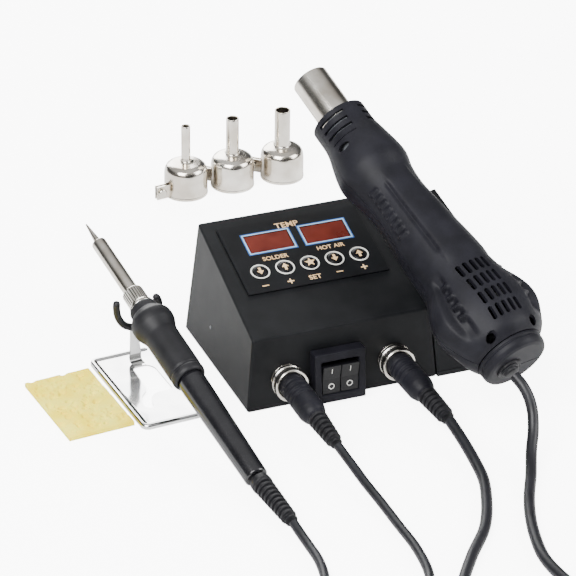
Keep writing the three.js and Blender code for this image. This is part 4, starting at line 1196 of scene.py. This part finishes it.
def make_nozzles():
    """Three deep-drawn nozzles: a cup with a round shoulder, an outlet tube, a clamp ear and its screw."""
    for node, (x, bore, turn) in NOZZLES.items():
        place = (np.array([x, NOZZLE_Y, 0]), np.array([[1.0, 0, 0], [0, 0, 1.0], [0, -1.0, 0]]))
        cup = [(13.2, 0), (14, 0), (14, 1.6), (13.8, 2.0), (13.8, 14.5), (13.4, 17.4), (12.2, 19.6),
               (9.8, 21.1), (bore + 2.2, 21.8), (bore + 1.0, 22.4), (bore + 0.7, 23.4), (bore + 0.7, 47),
               (bore, 47), (bore, 20.6), (10.2, 19.6), (13.2, 15)]
        lathe(f"{node}_cup", cup, "drawn_stainless", node, place, (node,), closed=True, radius=0.9, sides=96)
        clamp = floor_place(x, NOZZLE_Y, turn)
        for k, shift in enumerate((0, 2.4)):
            rows = [(-13.2, -3.6), (-22.4, -3.6), (-22.4, -2.7), (-13.2, -2.7)]
            points, faces = prism([(a, b + shift) for a, b in rows], 1.2, 10.2)
            piece(f"{node}_ear_{k + 1}", points, faces, "drawn_stainless", node, (node,), place=clamp)
        screw = [(0.05, -5.6), (2.4, -5.6), (2.9, -5.0), (2.9, -3.7), (1.6, -3.5), (1.6, 2.6), (0.05, 2.6)]
        centre = put_in(np.array([-19.0, 0, 5.7]), clamp)
        lathe(f"{node}_screw", screw, "nickel_plated_brass", node, (centre, clamp[1]), (node,), sides=32,
              radius=0.3)


def make_cords():
    """Both cords, each from its handset to its plug."""
    make_cord("iron_cord", IRON_CORD,
              ("iron_cord_lead", "iron_cord_coil", "iron_cord_return"))
    make_cord("gun_cord", GUN_CORD,
              ("gun_cord_lead", "gun_cord_coil", "gun_cord_return"))


# ---- Add-on ----
def colour_of(name, words, code):
    """A colour that a user can change, whose default is a six-digit sRGB colour."""
    return bpy.props.FloatVectorProperty(name=name, description=words, default=linear(code), size=4, min=0,
                                         max=1, subtype="COLOR")


def length_of(name, words, millimetres):
    """A length that a user can change."""
    return bpy.props.FloatProperty(name=name, description=words, default=millimetres * MM, min=0,
                                   unit="LENGTH")


class StationColours(bpy.types.PropertyGroup):
    """Finishes' colours, each a dark and a light tone that the surface runs between."""
    coat_dark: colour_of("Coat, dark", "Dark tone of the case's powder coat", "#0d0e10")
    coat_light: colour_of("Coat, light", "Light tone of the case's powder coat", "#131416")
    plastic_dark: colour_of("Plastic, dark", "Dark tone of the gun's and plugs' plastic", "#111116")
    plastic_light: colour_of("Plastic, light", "Light tone of the gun's and plugs' plastic", "#19191f")
    rubber_dark: colour_of("Rubber, dark", "Dark tone of the grip and the boots", "#0f0f12")
    rubber_light: colour_of("Rubber, light", "Light tone of the grip and the boots", "#17171a")
    window_dark: colour_of("Window, dark", "Dark tone of the display windows", "#4c1912")
    window_light: colour_of("Window, light", "Light tone of the display windows", "#5e241b")
    print_dark: colour_of("Print, dark", "Dark tone of the panel's words and icons", "#d6b07e")
    print_light: colour_of("Print, light", "Light tone of the panel's words and icons", "#eccb9d")
    sponge_dark: colour_of("Sponge, dark", "Dark tone of the sponge", "#fadf2c")
    sponge_light: colour_of("Sponge, light", "Light tone of the sponge", "#fff05c")


class StationSizes(bpy.types.PropertyGroup):
    """Sizes of details that the frame leaves open."""
    case_edge: length_of("Case edge", "Radius of the case's bends", 1.6)
    gun_wall: length_of("Gun wall", "Thickness of the gun's skin", 2.2)
    scoop_depth: length_of("Scoops", "Depth of the hollows beside the fan", 2.9)
    finger_rib: length_of("Finger ribs", "Height of the ribs on the gun's grip", 1.0)
    ring_knurl: length_of("Ring knurl", "Depth of the flutes on the plugs' rings", 0.3)
    nut_knurl: length_of("Nut knurl", "Depth of the flutes on the barrel's nut", 0.28)
    boot_rib: length_of("Boot ribs", "Depth between the ribs of the boots", 1.5)
    print_height: length_of("Print", "Thickness of the printed words", 0.12)
    wire_sleeve: length_of("Wire sleeve", "Radius of the stand's sleeved wire", 2.1)
    pores: bpy.props.IntProperty(name="Pores", description="Number of pores in the sponge's face",
                                 default=260, min=0)


class StationStage(bpy.types.PropertyGroup):
    """Camera and light."""
    azimuth: bpy.props.FloatProperty(name="Azimuth", description="Camera's bearing in degrees",
                                     default=-21.94)
    elevation: bpy.props.FloatProperty(name="Elevation", description="Camera's height angle in degrees",
                                       default=29.33)
    roll: bpy.props.FloatProperty(name="Roll", description="Camera's roll in degrees", default=0.73)
    distance: bpy.props.FloatProperty(name="Distance", description="From the aim point", default=1.862,
                                      unit="LENGTH")
    target: bpy.props.FloatVectorProperty(name="Aim point", description="What the camera looks at",
                                          default=(-0.0069, 0.01745, 0.035), subtype="XYZ")
    light: bpy.props.FloatProperty(name="Lamps", description="Strength of the lamps", default=1.0, min=0)
    surround: bpy.props.FloatProperty(name="Surround", description="Strength of the pale surround",
                                      default=0.9, min=0)


class STATION_OT_stage(bpy.types.Operator):
    """Sets up the camera, the floor and the lamps."""
    bl_idname = "rework_station.stage"
    bl_label = "Stage"

    def execute(self, context):
        make_stage(context.scene.station_stage)
        return {"FINISHED"}


class STATION_OT_plugs(bpy.types.Operator):
    """Makes the two plugs."""
    bl_idname = "rework_station.plugs"
    bl_label = "Plugs"

    def execute(self, context):
        make_plugs()
        return {"FINISHED"}


class STATION_OT_cords(bpy.types.Operator):
    """Makes the two cords, after their plugs."""
    bl_idname = "rework_station.cords"
    bl_label = "Cords"

    def execute(self, context):
        make_cords()
        return {"FINISHED"}


class STATION_OT_case(bpy.types.Operator):
    """Makes the case and dresses what is in it."""
    bl_idname = "rework_station.case"
    bl_label = "Case"

    def execute(self, context):
        make_case()
        return {"FINISHED"}


class STATION_OT_panel(bpy.types.Operator):
    """Makes the printed panel."""
    bl_idname = "rework_station.panel"
    bl_label = "Panel"

    def execute(self, context):
        make_panel()
        return {"FINISHED"}


class STATION_OT_buttons(bpy.types.Operator):
    """Makes the five buttons."""
    bl_idname = "rework_station.buttons"
    bl_label = "Buttons"

    def execute(self, context):
        make_buttons()
        return {"FINISHED"}


class STATION_OT_sockets(bpy.types.Operator):
    """Makes the sockets and their rings."""
    bl_idname = "rework_station.sockets"
    bl_label = "Sockets"

    def execute(self, context):
        make_sockets()
        return {"FINISHED"}


class STATION_OT_switches(bpy.types.Operator):
    """Makes the bezel and its two rockers."""
    bl_idname = "rework_station.switches"
    bl_label = "Switches"

    def execute(self, context):
        make_switches()
        return {"FINISHED"}


class STATION_OT_gun(bpy.types.Operator):
    """Makes the gun and its holder."""
    bl_idname = "rework_station.gun"
    bl_label = "Hot-air gun"

    def execute(self, context):
        make_gun()
        return {"FINISHED"}


class STATION_OT_iron(bpy.types.Operator):
    """Makes the iron."""
    bl_idname = "rework_station.iron"
    bl_label = "Soldering iron"

    def execute(self, context):
        make_iron()
        return {"FINISHED"}


class STATION_OT_stand(bpy.types.Operator):
    """Makes the stand."""
    bl_idname = "rework_station.stand"
    bl_label = "Iron stand"

    def execute(self, context):
        make_stand()
        return {"FINISHED"}


class STATION_OT_sponge(bpy.types.Operator):
    """Makes the sponge."""
    bl_idname = "rework_station.sponge"
    bl_label = "Sponge"

    def execute(self, context):
        make_sponge()
        return {"FINISHED"}


class STATION_OT_nozzles(bpy.types.Operator):
    """Makes the loose nozzles."""
    bl_idname = "rework_station.nozzles"
    bl_label = "Nozzles"

    def execute(self, context):
        make_nozzles()
        return {"FINISHED"}


GROUPS = {"station_colours": StationColours, "station_sizes": StationSizes, "station_stage": StationStage}
OPERATORS = [
    STATION_OT_stage, STATION_OT_plugs, STATION_OT_cords, STATION_OT_case, STATION_OT_panel,
    STATION_OT_buttons, STATION_OT_sockets, STATION_OT_switches, STATION_OT_gun, STATION_OT_iron,
    STATION_OT_stand, STATION_OT_sponge, STATION_OT_nozzles,
]


class STATION_PT_panel(bpy.types.Panel):
    """Lists the settings and the pieces in the 3D view's sidebar."""
    bl_idname = "STATION_PT_panel"
    bl_label = "Rework station"
    bl_space_type = "VIEW_3D"
    bl_region_type = "UI"
    bl_category = "Station"

    def draw(self, context):
        for key, group in GROUPS.items():
            for name in group.__annotations__:
                self.layout.prop(getattr(context.scene, key), name)
        for operator in OPERATORS:
            self.layout.operator(operator.bl_idname)


CLASSES = [*GROUPS.values(), *OPERATORS, STATION_PT_panel]


def register():
    for cls in CLASSES:
        bpy.utils.register_class(cls)
    for key, group in GROUPS.items():
        setattr(bpy.types.Scene, key, bpy.props.PointerProperty(type=group))


def unregister():
    for key in GROUPS:
        delattr(bpy.types.Scene, key)
    for cls in reversed(CLASSES):
        bpy.utils.unregister_class(cls)


def main():
    """Registers the classes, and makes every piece."""
    register()
    for operator in OPERATORS:
        getattr(bpy.ops.rework_station, operator.bl_idname.split(".")[1])()


if __name__ == "__main__":
    main()
